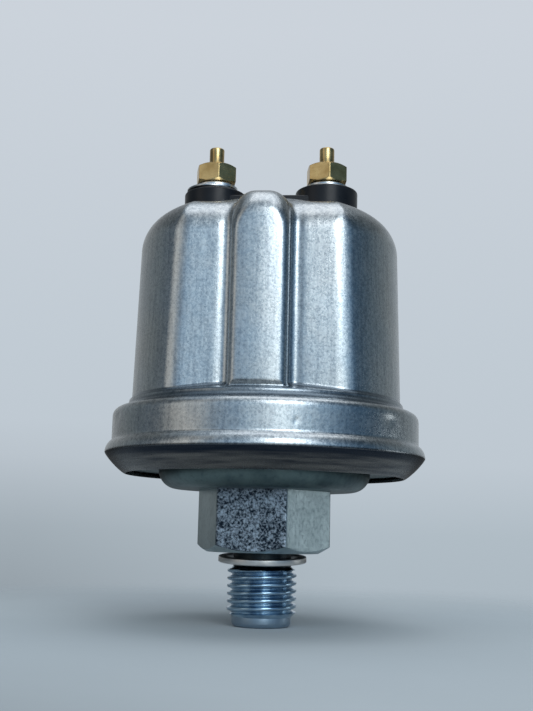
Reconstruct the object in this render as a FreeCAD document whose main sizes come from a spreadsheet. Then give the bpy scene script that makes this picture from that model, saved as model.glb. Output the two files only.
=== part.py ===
import FreeCAD, Part
import math
import os

import Sketcher

# Oil pressure sender: a threaded hexagon port carries a crimped aluminium can with two stud terminals. Inside, a
# diaphragm lifts a push pin, which turns a rocker whose wiper travels along a wound resistor card.
# Millimetres. The origin is the centre of the thread's free end, +Z runs up the axis and the can's rib faces -Y.

SIZES = {
    # Threaded port with its hexagon
    "thread_diameter": 14.0,
    "thread_length": 9.0,
    "thread_lead_in": 1.0,
    "nose_diameter": 11.9,
    "nose_length": 1.9,
    "nose_rounding": 0.9,
    "undercut_diameter": 11.7,
    "undercut_length": 2.7,
    "hex_across_flats": 24.0,
    "hex_height": 12.4,
    "hex_face_diameter": 22.8,
    "hex_turn": -7.5,
    "bore_diameter": 3.9,
    "jet_hole_diameter": 0.8,
    "jet_length": 5.0,
    "jet_depth": 6.0,
    "spigot_diameter": 12.0,
    "swage_diameter": 14.6,
    "swage_height": 1.0,
    # Loose seal ring, hanging a little askew
    "seal_clearance": 0.25,
    "seal_width": 1.7,
    "seal_thickness": 1.2,
    "seal_tilt": 4.0,
    # Dished base plate
    "plate_thickness": 1.5,
    "rim_width": 8.4,
    "dish_depth": 3.8,
    "rim_rounding": 1.4,
    # Drawn can with its crimped flange
    "can_wall": 1.0,
    "can_taper": 0.65,
    "can_height": 41.05,
    "can_rounding": 8.0,
    "foot_fillet": 1.8,
    "flange_land": 0.2,
    "flange_rounding": 1.75,
    "band_radius": 31.5,
    "band_height": 4.85,
    "bead_bulge": 1.3,
    "bead_height": 2.46,
    "bead_roll": 4.1,
    "lip_width": 0.3,
    # Two pressed flats with a rib between them
    "flat_depth": 5.75,
    "ledge_rise": 1.4,
    "rib_width": 11.2,
    "rib_setback": 0.45,
    "rib_edge_rounding": 1.8,
    "rib_top_rounding": 4.0,
    "rib_corner_rounding": 2.4,
    "rib_root_rounding": 2.0,
    # Parts clamped in the flange
    "gasket_thickness": 0.6,
    "gasket_width": 5.0,
    "diaphragm_thickness": 0.3,
    "diaphragm_sag": 1.6,
    "wave_height": 0.9,
    "clamp_ring_width": 3.9,
    "carrier_thickness": 1.5,
    "carrier_clearance": 0.4,
    # Push pin and its return spring
    "pusher_diameter": 15.0,
    "pusher_thickness": 1.2,
    "pin_diameter": 2.5,
    "pin_reach": 4.1,
    "running_clearance": 0.05,
    "bush_diameter": 5.2,
    "bush_flange_diameter": 6.2,
    "bush_flange_thickness": 0.8,
    "bush_rise": 1.5,
    "spring_wire": 0.7,
    "spring_diameter": 5.2,
    "spring_turns": 4.5,
    "seat_gap": 0.05,
    # Pivot and rocker
    "pin_gap": 0.03,
    "pivot_offset": 5.0,
    "axle_diameter": 2.0,
    "axle_head_diameter": 3.4,
    "axle_head_thickness": 0.3,
    "bracket_thickness": 1.2,
    "bracket_gap": 5.6,
    "bracket_length": 19.0,
    "bracket_cheek_width": 4.8,
    "hub_diameter": 4.4,
    "hub_side_gap": 0.2,
    "pad_reach": 2.4,
    "pad_width": 3.2,
    "pad_thickness": 1.4,
    "arm_height": 15.0,
    "arm_width": 2.4,
    "arm_depth": 1.6,
    # Wiper, resistor card and holder
    "wiper_height": 24.0,
    "wiper_overlap": 7.0,
    "wiper_width": 1.6,
    "wiper_thickness": 0.4,
    "wiper_tip": 1.6,
    "contact_diameter": 1.6,
    "contact_length": 1.5,
    "winding_gap": 0.05,
    "winding_thickness": 0.25,
    "winding_ridge": 0.12,
    "winding_turns": 12.0,
    "card_length": 12.0,
    "card_margin": 2.3,
    "card_height": 7.0,
    "card_thickness": 0.8,
    "card_shift": 2.3,
    "holder_gap": 0.65,
    "holder_depth": 2.2,
    "holder_foot_depth": 6.4,
    "holder_foot_height": 2.0,
    "holder_cap": 1.0,
    "eyelet_diameter": 1.2,
    "eyelet_head_diameter": 1.9,
    "eyelet_head_height": 0.3,
    # Small screws
    "screw_diameter": 2.2,
    "screw_head_diameter": 3.8,
    "screw_head_height": 1.3,
    "screw_end": 1.0,
    "screw_clearance": 0.05,
    # Moulded terminal plate
    "terminal_margin": 0.45,
    "terminal_disc_thickness": 2.0,
    "terminal_disc_clearance": 0.45,
    "terminal_gasket_thickness": 0.5,
    "terminal_gasket_width": 1.4,
    "boss_radius": 6.65,
    "boss_rise": 6.2,
    "boss_step": 0.6,
    "boss_pad_radius": 5.2,
    "web_rise": 4.8,
    "web_width": 11.0,
    "opening_clearance": 0.15,
    # Stud terminals
    "stud_diameter": 5.0,
    "stud_tip_diameter": 3.2,
    "stud_tip_length": 4.2,
    "stud_tip_chamfer": 0.35,
    "stud_head_diameter": 7.6,
    "stud_head_thickness": 1.5,
    "washer_diameter": 10.0,
    "washer_thickness": 1.0,
    "spring_washer_diameter": 9.4,
    "spring_washer_thickness": 0.6,
    "spring_washer_rise": 0.9,
    "washer_clearance": 0.15,
    "nut_across_flats": 8.0,
    "nut_height": 4.0,
    "nut_face_diameter": 7.6,
    "nut_turn_left": -16.4,
    "nut_turn_right": -20.9,
    # Inner lead strips
    "strip_thickness": 0.5,
    "strip_width": 3.0,
    "strip_end_gap": 0.1,
    "warning_drop": 12.0,
    "warning_gap": 4.5,
    "warning_tongue": 3.4,
}

doc = FreeCAD.newDocument("oil_pressure_sender")
sheet = doc.addObject("Spreadsheet::Sheet", "Sizes")
for row, (alias, number) in enumerate(SIZES.items(), start=1):
    sheet.set(f"A{row}", alias)
    sheet.set(f"B{row}", str(number))
    sheet.setAlias(f"B{row}", alias)
doc.recompute()


class Length:
    """A length that carries both its value and the formula on the sheet that gives it."""

    def __init__(self, value, formula=None):
        self.value = float(value)
        self.formula = formula if formula is not None else repr(self.value)

    def combine(self, other, sign, value):
        return Length(value, f"({self.formula} {sign} {other.formula})")

    def __add__(self, other):
        other = length(other)
        return self.combine(other, "+", self.value + other.value)

    def __sub__(self, other):
        other = length(other)
        return self.combine(other, "-", self.value - other.value)

    def __mul__(self, other):
        other = length(other)
        return self.combine(other, "*", self.value * other.value)

    def __truediv__(self, other):
        other = length(other)
        return self.combine(other, "/", self.value / other.value)

    def __neg__(self):
        return Length(-self.value, f"(-1 * {self.formula})")

    def __radd__(self, other):
        return length(other) + self

    def __rsub__(self, other):
        return length(other) - self

    def __rmul__(self, other):
        return length(other) * self

    def root(self):
        return Length(math.sqrt(self.value), f"sqrt({self.formula})")


def length(number):
    return number if isinstance(number, Length) else Length(number)


def larger(first, second):
    return Length(max(first.value, second.value), f"max({first.formula}; {second.formula})")


def size(alias):
    """The named cell of the sheet."""
    return Length(sheet.get(alias), f"Sizes.{alias}")


def bind(target, name, value):
    """Tie one property of an object to its formula."""
    target.setExpression(name, length(value).formula)


# Sketches and solids

def base_plane(body, role):
    return next(item for item in body.Origin.OriginFeatures if item.Role == role)


def new_body(label):
    body = doc.addObject("PartDesign::Body", label)
    body.Label = label
    return body


def new_sketch(body, name, role, offset=0.0):
    sketch = body.newObject("Sketcher::SketchObject", name)
    sketch.AttachmentSupport = [(base_plane(body, role), "")]
    sketch.MapMode = "FlatFace"
    bind(sketch, "AttachmentOffset.Base.z", offset)
    return sketch


def fix_point(sketch, geometry, place, x, y):
    """Hold a vertex at its distances from the sketch's own axes."""
    for value, axis, kind in ((x, -2, "DistanceX"), (y, -1, "DistanceY")):
        value = length(value)
        if value.value == 0.0:
            sketch.addConstraint(Sketcher.Constraint("PointOnObject", geometry, place, axis))
        else:
            rule = Sketcher.Constraint(kind, -1, 1, geometry, place, value.value)
            index = sketch.addConstraint(rule)
            sketch.setExpression(f"Constraints[{index}]", value.formula)


def bent_edge(start, end, bend):
    """Arc from start to end; a positive bend runs anticlockwise."""
    radius = abs(bend)
    half = start.distanceToPoint(end) / 2
    along = (end - start).normalize()
    side = FreeCAD.Vector(-along.y, along.x, 0) * (1 if bend > 0 else -1)
    centre = (start + end) * 0.5 + side * math.sqrt(max(radius * radius - half * half, 0.0))
    first, last = (start, end) if bend > 0 else (end, start)
    begin = math.atan2(first.y - centre.y, first.x - centre.x)
    finish = math.atan2(last.y - centre.y, last.x - centre.x)
    circle = Part.Circle(centre, FreeCAD.Vector(0, 0, 1), radius)
    return Part.ArcOfCircle(circle, begin, finish)


def hold_bend(sketch, edge, end, start, bend):
    """Hold an arc by its radius, or a half turn by its centre's place across the chord."""
    x, y = length(end[0]), length(end[1])
    across = abs(x.value - length(start[0]).value)
    upright = abs(y.value - length(start[1]).value)
    if abs(math.hypot(across, upright) - 2 * abs(bend.value)) > 1e-6:
        index = sketch.addConstraint(Sketcher.Constraint("Radius", edge, abs(bend.value)))
        bind(sketch, f"Constraints[{index}]", bend if bend.value > 0 else -bend)
        return
    kind, value, axis = ("DistanceX", x, -2) if across < 1e-6 else ("DistanceY", y, -1)
    if value.value == 0.0:
        sketch.addConstraint(Sketcher.Constraint("PointOnObject", edge, 3, axis))
        return
    index = sketch.addConstraint(Sketcher.Constraint(kind, -1, 1, edge, 3, value.value))
    bind(sketch, f"Constraints[{index}]", value)


def draw_outline(sketch, points):
    """Closed outline. A point is (x, y), or (x, y, bend) where an arc of that radius leads to it."""
    corners = [FreeCAD.Vector(length(p[0]).value, length(p[1]).value, 0) for p in points]
    ends = []
    for index, point in enumerate(points):
        start = corners[index - 1]
        end = corners[index]
        if len(point) == 2:
            edge = sketch.addGeometry(Part.LineSegment(start, end), False)
            ends.append((edge, 1, 2))
        else:
            bend = length(point[2])
            edge = sketch.addGeometry(bent_edge(start, end, bend.value), False)
            ends.append((edge, 1, 2) if bend.value > 0 else (edge, 2, 1))
    for index, (edge, start, end) in enumerate(ends):
        following = ends[(index + 1) % len(ends)]
        sketch.addConstraint(Sketcher.Constraint("Coincident", edge, end, following[0], following[1]))
    for index, (edge, start, end) in enumerate(ends):
        fix_point(sketch, edge, end, points[index][0], points[index][1])
        if len(points[index]) == 3:
            hold_bend(sketch, edge, points[index], points[index - 1], length(points[index][2]))


def draw_circle(sketch, x, y, radius):
    x, y, radius = length(x), length(y), length(radius)
    centre = FreeCAD.Vector(x.value, y.value, 0)
    edge = sketch.addGeometry(Part.Circle(centre, FreeCAD.Vector(0, 0, 1), radius.value), False)
    if x.value == 0.0 and y.value == 0.0:
        sketch.addConstraint(Sketcher.Constraint("Coincident", edge, 3, -1, 1))
    else:
        fix_point(sketch, edge, 3, x, y)
    index = sketch.addConstraint(Sketcher.Constraint("Radius", edge, radius.value))
    bind(sketch, f"Constraints[{index}]", radius)


def draw_box(sketch, left, bottom, right, top):
    draw_outline(sketch, [(left, bottom), (right, bottom), (right, top), (left, top)])


def draw_hexagon(sketch, across_flats):
    """Hexagon with flats facing up and down the page."""
    corner = across_flats / math.sqrt(3)
    half = across_flats / 2
    draw_outline(sketch, [
        (corner, 0), (corner / 2, half), (-corner / 2, half),
        (-corner, 0), (-corner / 2, -half), (corner / 2, -half),
    ])


def draw_slot(sketch, spacing, radius):
    """Slot about the origin with its round ends on the page's x axis."""
    reach = spacing / 2
    draw_outline(sketch, [
        (reach, -radius), (reach, radius, radius), (-reach, radius), (-reach, -radius, radius),
    ])


def turn(body, name, points, cut=False):
    """Revolve an outline of (radius, height) points about Z."""
    sketch = new_sketch(body, f"{name}_outline", "XZ_Plane")
    draw_outline(sketch, points)
    kind = "PartDesign::Groove" if cut else "PartDesign::Revolution"
    feature = body.newObject(kind, name)
    feature.Profile = sketch
    feature.ReferenceAxis = (sketch, ["V_Axis"])
    feature.Angle = 360.0
    return feature


def pad(body, name, role, start, height, draw, cut=False):
    """Raise what draw puts in the sketch; start and height run along the plane's own normal."""
    sketch = new_sketch(body, f"{name}_outline", role, start)
    draw(sketch)
    feature = body.newObject("PartDesign::Pocket" if cut else "PartDesign::Pad", name)
    feature.Profile = sketch
    bind(feature, "Length", height)
    feature.Reversed = cut
    return feature


def turned(label, points):
    body = new_body(label)
    turn(body, f"{label}_turning", points)
    return body


def padded(label, role, start, height, draw):
    body = new_body(label)
    pad(body, f"{label}_pad", role, start, height, draw)
    return body


def place(item, x=None, y=None, z=None):
    for axis, value in (("x", x), ("y", y), ("z", z)):
        if value is not None:
            bind(item, f"Placement.Base.{axis}", value)


def joined(kind, label, items):
    item = doc.addObject(kind, label)
    item.Label = label
    item.Shapes = items
    return item


def cut_from(label, base, tool):
    item = doc.addObject("Part::Cut", label)
    item.Label = label
    item.Base = base
    item.Tool = tool
    return item


# Levels and radii that several pieces share, worked up from the thread's free end

thread_radius = size("thread_diameter") / 2
nose_radius = size("nose_diameter") / 2
bore_radius = size("bore_diameter") / 2
undercut_radius = size("undercut_diameter") / 2
spigot_radius = size("spigot_diameter") / 2
thread_foot_z = size("nose_length") + size("thread_lead_in")
thread_top_z = thread_foot_z + size("thread_length")
shoulder_z = thread_top_z + size("undercut_length")
hex_top_z = shoulder_z + size("hex_height")
plate_floor_z = hex_top_z + size("plate_thickness")
rim_z = hex_top_z + size("dish_depth")
rim_top_z = rim_z + size("plate_thickness")
gasket_top_z = rim_top_z + size("gasket_thickness")
clamp_z = gasket_top_z + size("diaphragm_thickness")

lip_z = rim_z - size("can_wall")
bead_z = lip_z + size("bead_roll")
band_z = bead_z + size("bead_height")
band_top_z = band_z + size("band_height")
flange_z = band_top_z + size("flange_rounding")
can_top_z = flange_z + size("can_height")
ceiling_z = can_top_z - size("can_wall")
bead_radius = size("band_radius") + size("bead_bulge")
roll_radius = bead_radius - size("bead_roll")
lip_radius = roll_radius - size("lip_width")
stack_radius = roll_radius + size("rim_rounding")
dish_radius = stack_radius - size("rim_width")
can_foot_radius = size("band_radius") - size("flange_rounding") - size("flange_land") - size("foot_fillet")
can_top_radius = can_foot_radius - size("can_taper")
flat_distance = can_foot_radius - size("flat_depth")
rib_reach = can_foot_radius - size("rib_setback")

carrier_top_z = flange_z - size("can_wall")
carrier_z = carrier_top_z - size("carrier_thickness")
pusher_z = gasket_top_z - size("diaphragm_sag") + size("diaphragm_thickness")
pusher_top_z = pusher_z + size("pusher_thickness")
pin_radius = size("pin_diameter") / 2
pin_top_z = carrier_top_z + size("pin_reach")
pivot_z = pin_top_z + size("pin_gap")
pivot_x = -size("pivot_offset")
bush_radius = size("bush_diameter") / 2
bush_z = carrier_z - size("bush_flange_thickness")
bush_top_z = carrier_top_z + size("bush_rise")

# The bosses stand on the flat of the can's top, and the disc under it fits where the shoulder begins to close in
terminal_x = can_top_radius - size("can_rounding") - size("boss_radius") - size("terminal_margin")
shoulder_radius = can_top_radius - size("can_rounding")
shoulder_bend = size("can_rounding") - size("can_wall")
shoulder_drop = shoulder_bend - size("terminal_gasket_thickness") - size("opening_clearance")
shoulder_room = ((shoulder_bend * shoulder_bend) - (shoulder_drop * shoulder_drop)).root()
disc_radius = shoulder_radius + shoulder_room - size("terminal_disc_clearance")
disc_flat = flat_distance - size("can_rounding") + shoulder_room - size("terminal_disc_clearance")
disc_top_z = ceiling_z - size("terminal_gasket_thickness") - size("opening_clearance")
disc_z = disc_top_z - size("terminal_disc_thickness")
boss_top_z = can_top_z + size("boss_rise")
web_top_z = can_top_z + size("web_rise")
stud_radius = size("stud_diameter") / 2
washer_top_z = boss_top_z + size("washer_thickness")
nut_z = washer_top_z + size("spring_washer_thickness") + size("spring_washer_rise")
nut_top_z = nut_z + size("nut_height")
stud_top_z = nut_top_z + size("stud_tip_length")
strip_z = disc_z - size("strip_thickness")

# The bead's flank is an arc that is upright at its widest point and meets the band above it
flank_radius = (size("bead_height") * size("bead_height") + size("bead_bulge") * size("bead_bulge"))
flank_radius = flank_radius / (size("bead_bulge") * 2)


# Threaded port: nose, thread, undercut, hexagon and the spigot swaged over the base plate

def make_port():
    body = new_body("port_fitting")
    corner_radius = size("hex_across_flats") / math.sqrt(3)
    face_radius = size("hex_face_diameter") / 2
    chamfer_height = (corner_radius - face_radius) * math.tan(math.radians(30))
    swage_radius = size("swage_diameter") / 2
    jet_z = size("jet_depth") + size("jet_length")
    turn(body, "port_turning", [
        (bore_radius, 0), (nose_radius - size("nose_rounding"), 0),
        (nose_radius, size("nose_rounding"), size("nose_rounding")),
        (nose_radius, size("nose_length")), (thread_radius, thread_foot_z), (thread_radius, thread_top_z),
        (undercut_radius, thread_top_z), (undercut_radius, shoulder_z), (face_radius, shoulder_z),
        (corner_radius, shoulder_z + chamfer_height), (corner_radius, hex_top_z),
        (spigot_radius, hex_top_z), (spigot_radius, plate_floor_z), (swage_radius, plate_floor_z),
        (swage_radius, plate_floor_z + size("swage_height") / 2),
        (spigot_radius, plate_floor_z + size("swage_height")),
        (bore_radius / 2, plate_floor_z + size("swage_height")), (bore_radius / 2, jet_z),
        (bore_radius, jet_z),
    ])
    doc.recompute()

    def around_hexagon(sketch):
        bind(sketch, "AttachmentOffset.Rotation.Angle", size("hex_turn"))
        draw_circle(sketch, 0, 0, size("hex_across_flats"))
        draw_hexagon(sketch, size("hex_across_flats"))

    pad(body, "port_hexagon", "XY_Plane", shoulder_z, size("hex_height"), around_hexagon, cut=True)
    return body


def make_jet():
    """Restrictor that damps the pulses, held against the step in the bore."""
    hole = size("jet_hole_diameter") / 2
    foot, head = size("jet_depth"), size("jet_depth") + size("jet_length")
    return turned("inlet_restrictor", [(hole, foot), (bore_radius, foot), (bore_radius, head), (hole, head)])


def make_seal():
    """Flat ring, tipped about X until its far edge meets the hexagon's shoulder."""
    inner = thread_radius + size("seal_clearance")
    outer = inner + size("seal_width")
    thick = size("seal_thickness")
    edge = thick / 4
    body = turned("seal_ring", [
        (inner, -thick), (outer - edge, -thick), (outer, -thick + edge), (outer, -edge),
        (outer - edge, 0), (inner, 0),
    ])
    tilt = size("seal_tilt")
    body.Placement = FreeCAD.Placement(FreeCAD.Vector(), FreeCAD.Rotation(FreeCAD.Vector(1, 0, 0), 1))
    bind(body, "Placement.Rotation.Angle", tilt)
    rise = Length(outer.value * math.sin(math.radians(tilt.value)),
                  f"({outer.formula} * sin(1deg * Sizes.seal_tilt))")
    place(body, z=shoulder_z - size("seat_gap") - rise)
    return body


def make_base_plate():
    """Pressed disc: flat centre, quarter round up to the rim that the can is crimped over."""
    dish = size("dish_depth")
    knee = dish_radius - dish
    inner_bend = dish - size("plate_thickness")
    rounding = size("rim_rounding")
    return turned("base_plate", [
        (spigot_radius, hex_top_z), (knee, hex_top_z), (dish_radius, rim_z, dish),
        (stack_radius - rounding, rim_z), (stack_radius, rim_z + rounding, rounding),
        (stack_radius, rim_top_z), (knee + inner_bend, rim_top_z), (knee + inner_bend, rim_z),
        (knee, plate_floor_z, -inner_bend), (spigot_radius, plate_floor_z),
    ])


# Can

def can_form(label, skin):
    """Solid of the can's outer face, or of its inner face where skin is the wall."""
    foot_radius = can_foot_radius - skin
    top_radius = can_top_radius - skin
    top_z = can_top_z - skin
    rounding = size("can_rounding") - skin
    foot_fillet = size("foot_fillet") + skin
    flange_rounding = size("flange_rounding") - skin
    shoulder_top_z = flange_z - skin
    ledge_z = shoulder_top_z + foot_fillet
    flat = flat_distance - skin
    ledge_top_z = ledge_z + size("ledge_rise")
    roll = size("bead_roll") - skin
    inside = length(skin).value > 0

    underside = [(0, lip_z), (roll_radius, lip_z)]
    if inside:
        floor_z = lip_z - size("can_wall")
        underside = [(0, floor_z), (lip_radius, floor_z), (lip_radius, rim_z), (roll_radius, rim_z)]
    foot = turned(f"{label}_foot", underside + [
        (bead_radius - skin, bead_z, roll), (size("band_radius") - skin, band_z, flank_radius),
        (size("band_radius") - skin, band_top_z),
        (size("band_radius") - skin - flange_rounding, shoulder_top_z, flange_rounding),
        (foot_radius + foot_fillet, shoulder_top_z),
        (foot_radius, ledge_z, -foot_fillet), (flat, ledge_top_z), (0, ledge_top_z),
    ])

    drum = turned(f"{label}_drum", [
        (0, ledge_z), (foot_radius, ledge_z), (top_radius, top_z - rounding),
        (top_radius - rounding, top_z, rounding), (0, top_z),
    ])
    wide = can_foot_radius + size("can_wall")
    flats = new_body(f"{label}_flats")

    def side_view(sketch):
        draw_outline(sketch, [
            (-flat, ledge_z), (wide, ledge_z), (wide, top_z), (rounding - flat, top_z),
            (-flat, top_z - rounding, rounding),
        ])

    across = pad(flats, f"{label}_flats_pad", "YZ_Plane", 0, wide * 2, side_view)
    across.SideType = "Symmetric"
    drum_with_flats = joined("Part::MultiCommon", f"{label}_flattened", [drum, flats])

    rib = make_rib(label, skin, flat - rounding, ledge_z, top_z)
    roots = make_rib_roots(label, skin, flat, rounding, ledge_z, top_z)
    return joined("Part::MultiFuse", label, [foot, drum_with_flats, rib, roots])


def make_rib(label, skin, back, ledge_z, top_z):
    """Rib between the flats: its section, its side view and its front view crossed with each other."""
    half = size("rib_width") / 2 - skin
    reach = rib_reach - skin
    edge = size("rib_edge_rounding") - skin / 2
    crown = size("rib_top_rounding") - skin / 2
    corner = size("rib_corner_rounding") - skin / 2
    tall = top_z - ledge_z

    def section(sketch):
        draw_outline(sketch, [
            (-half, -back), (-half, edge - reach), (edge - half, -reach, edge),
            (half - edge, -reach), (half, edge - reach, edge), (half, -back),
        ])

    def side_view(sketch):
        draw_outline(sketch, [
            (-back, ledge_z), (-back, top_z), (crown - reach, top_z),
            (-reach, top_z - crown, crown), (-reach, ledge_z + edge), (edge - reach, ledge_z, edge),
        ])

    def front_view(sketch):
        draw_outline(sketch, [
            (-half, ledge_z), (half, ledge_z), (half, top_z - corner), (half - corner, top_z, corner),
            (corner - half, top_z), (-half, top_z - corner, corner),
        ])

    upright = padded(f"{label}_rib_section", "XY_Plane", ledge_z, tall, section)
    side = new_body(f"{label}_rib_side")
    pad(side, f"{label}_rib_side_pad", "YZ_Plane", 0, half * 2, side_view).SideType = "Symmetric"
    front = new_body(f"{label}_rib_front")
    pad(front, f"{label}_rib_front_pad", "XZ_Plane", 0, reach * 2, front_view).SideType = "Symmetric"
    return joined("Part::MultiCommon", f"{label}_rib", [upright, side, front])


def make_rib_roots(label, skin, flat, rounding, ledge_z, top_z):
    """Hollow roundings where the rib runs into the flats, carried on round the can's shoulder."""
    half = size("rib_width") / 2 - skin
    root = size("rib_root_rounding") + skin
    back = flat - rounding
    wide = half + root

    def section(sketch):
        draw_outline(sketch, [
            (-wide, -back), (-wide, -flat), (-half, -flat - root, -root), (half, -flat - root),
            (wide, -flat, -root), (wide, -back),
        ])

    def under_the_top(sketch):
        draw_box(sketch, -wide, -flat - root, wide, -back)

    upright = padded(f"{label}_root_strip", "XY_Plane", ledge_z, top_z - rounding - ledge_z, section)
    ring = turned(f"{label}_root_ring", [
        (rounding / 2, -wide), (rounding, -wide), (rounding + root, -half, -root), (rounding + root, half),
        (rounding, wide, -root), (rounding / 2, wide),
    ])
    ring.Placement = FreeCAD.Placement(FreeCAD.Vector(), FreeCAD.Rotation(FreeCAD.Vector(0, 1, 0), 90))
    place(ring, y=-back, z=top_z - rounding)
    bend = joined("Part::MultiFuse", f"{label}_root_bend", [upright, ring])
    slab = padded(f"{label}_root_slab", "XY_Plane", ledge_z, top_z - ledge_z, under_the_top)
    return joined("Part::MultiCommon", f"{label}_roots", [bend, slab])


def make_can():
    outer = can_form("can_outside", length(0.0))
    inner = can_form("can_inside", size("can_wall"))
    shell = cut_from("can_shell", outer, inner)

    def opening(sketch):
        draw_slot(sketch, terminal_x * 2, size("boss_radius") + size("opening_clearance"))

    slot = padded("can_opening", "XY_Plane", disc_top_z, size("boss_rise") + size("can_wall") * 2, opening)
    return cut_from("can", shell, slot)


# Parts clamped in the flange

def make_crimp_gasket():
    inner = stack_radius - size("gasket_width")
    return turned("crimp_gasket", [
        (inner, rim_top_z), (stack_radius, rim_top_z), (stack_radius, gasket_top_z), (inner, gasket_top_z),
    ])


def make_diaphragm():
    """Thin corrugated disc that hangs a little below its rim when there is no pressure."""
    thick = size("diaphragm_thickness")
    low = gasket_top_z - size("diaphragm_sag")
    flat = size("pusher_diameter") / 2 + thick
    bend = dish_radius - size("plate_thickness")
    step = (bend - flat) / 3
    wave = size("wave_height")
    under = [
        (0, low), (flat, low), (flat + step, low + wave), (flat + step * 2, low),
        (bend, gasket_top_z), (stack_radius, gasket_top_z),
    ]
    over = [(radius, level + thick) for radius, level in reversed(under)]
    return turned("diaphragm", under + over)


def make_clamp_ring():
    inner = stack_radius - size("clamp_ring_width")
    return turned("clamp_ring", [
        (inner, clamp_z), (stack_radius, clamp_z), (stack_radius, carrier_z), (inner, carrier_z),
    ])


def holder_screw_places():
    centre = pivot_x + size("card_shift") * -1
    reach = size("card_length") / 2 - size("screw_head_diameter") / 2
    depth = holder_face_y() + size("holder_depth") + screw_seat()
    return [(centre - reach, depth), (centre + reach, depth)]


def bracket_screw_places():
    reach = size("bracket_length") / 2 - size("screw_head_diameter") / 2 - size("screw_clearance") * 4
    centre = bracket_centre_x()
    return [(centre - reach, length(0.0)), (centre + reach, length(0.0))]


def screw_seat():
    return size("screw_head_diameter") / 2 + size("screw_clearance") * 4


def bracket_centre_x():
    return pivot_x / 2


def holder_face_y():
    return card_y() + size("card_thickness") + size("holder_gap")


def card_y():
    return (size("arm_width") / 2 + size("wiper_thickness") + size("contact_length")
            + size("winding_gap") + size("winding_thickness"))


def make_carrier():
    """Plate under the can's shoulder that carries the mechanism."""
    hole = size("screw_diameter") / 2
    body = padded("carrier_plate", "XY_Plane", carrier_z, size("carrier_thickness"),
                  lambda sketch: draw_circle(sketch, 0, 0, stack_radius - size("carrier_clearance")))

    def holes(sketch):
        draw_circle(sketch, 0, 0, bush_radius)
        for x, y in bracket_screw_places() + holder_screw_places():
            draw_circle(sketch, x, y, hole)

    pad(body, "carrier_holes", "XY_Plane", carrier_z, size("carrier_thickness"), holes, cut=True)
    return body


# Push pin, its plate, guide bush and spring

def make_pusher():
    """Disc on the diaphragm with a hole for the pin."""
    radius = size("pusher_diameter") / 2
    edge = size("pusher_thickness") / 3
    return turned("pressure_plate", [
        (pin_radius, pusher_z), (radius, pusher_z), (radius, pusher_top_z - edge),
        (radius - edge, pusher_top_z), (pin_radius, pusher_top_z),
    ])


def make_push_pin():
    return turned("push_pin", [
        (0, pusher_z), (pin_radius, pusher_z), (pin_radius, pin_top_z - pin_radius),
        (0, pin_top_z, pin_radius),
    ])


def make_bush():
    bore = pin_radius + size("running_clearance")
    flange = size("bush_flange_diameter") / 2
    return turned("guide_bush", [
        (bore, bush_z), (flange, bush_z), (flange, carrier_z), (bush_radius, carrier_z),
        (bush_radius, bush_top_z), (bore, bush_top_z),
    ])


def make_return_spring():
    body = new_body("return_spring")
    wire = size("spring_wire") / 2
    foot = pusher_top_z + wire + size("seat_gap")
    height = bush_z - wire - size("seat_gap") - foot
    sketch = new_sketch(body, "spring_wire_section", "XZ_Plane")
    draw_circle(sketch, size("spring_diameter") / 2, foot, wire)
    doc.recompute()
    coil = body.newObject("PartDesign::AdditiveHelix", "spring_coil")
    coil.Profile = sketch
    coil.ReferenceAxis = (sketch, ["V_Axis"])
    coil.Mode = "height-turns-angle"
    bind(coil, "Height", height)
    bind(coil, "Turns", size("spring_turns"))
    return body


# Rocker on its bracket

def make_bracket():
    """Strip on the carrier plate with two cheeks that hold the axle."""
    body = new_body("pivot_bracket")
    centre = bracket_centre_x()
    half = size("bracket_length") / 2
    thick = size("bracket_thickness")
    inner = size("bracket_gap") / 2
    outer = inner + thick
    cheek = size("bracket_cheek_width") / 2
    axle = size("axle_diameter") / 2
    hole = size("screw_diameter") / 2

    def strip(sketch):
        draw_box(sketch, centre - half, -outer, centre + half, outer)
        draw_circle(sketch, 0, 0, bush_radius + size("screw_clearance"))
        for x, y in bracket_screw_places():
            draw_circle(sketch, x, y, hole)

    def cheeks(sketch):
        draw_outline(sketch, [
            (pivot_x - cheek, carrier_top_z), (pivot_x + cheek, carrier_top_z),
            (pivot_x + cheek, pivot_z), (pivot_x - cheek, pivot_z, cheek),
        ])

    def between(sketch):
        draw_box(sketch, pivot_x - cheek, carrier_top_z + thick, pivot_x + cheek, pivot_z + cheek + thick)

    def axle_hole(sketch):
        draw_circle(sketch, pivot_x, pivot_z, axle)

    pad(body, "bracket_strip", "XY_Plane", carrier_top_z, thick, strip)
    pad(body, "bracket_cheeks", "XZ_Plane", 0, outer * 2, cheeks).SideType = "Symmetric"
    doc.recompute()
    for name, draw, depth in (("bracket_gap", between, inner * 2), ("bracket_axle_hole", axle_hole, outer * 2)):
        pad(body, name, "XZ_Plane", 0, depth, draw, cut=True).SideType = "Symmetric"
        doc.recompute()
    return body


def make_axle():
    """Pin with both ends riveted over the cheeks, modelled upright and laid along Y."""
    radius = size("axle_diameter") / 2
    head = size("axle_head_diameter") / 2
    outer = size("bracket_gap") / 2 + size("bracket_thickness")
    end = outer + size("axle_head_thickness")
    body = turned("pivot_axle", [
        (0, -end), (head, -end), (head, -outer), (radius, -outer), (radius, outer), (head, outer),
        (head, end), (0, end),
    ])
    body.Placement = FreeCAD.Placement(FreeCAD.Vector(), FreeCAD.Rotation(FreeCAD.Vector(1, 0, 0), 90))
    place(body, x=pivot_x, z=pivot_z)
    return body


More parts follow.
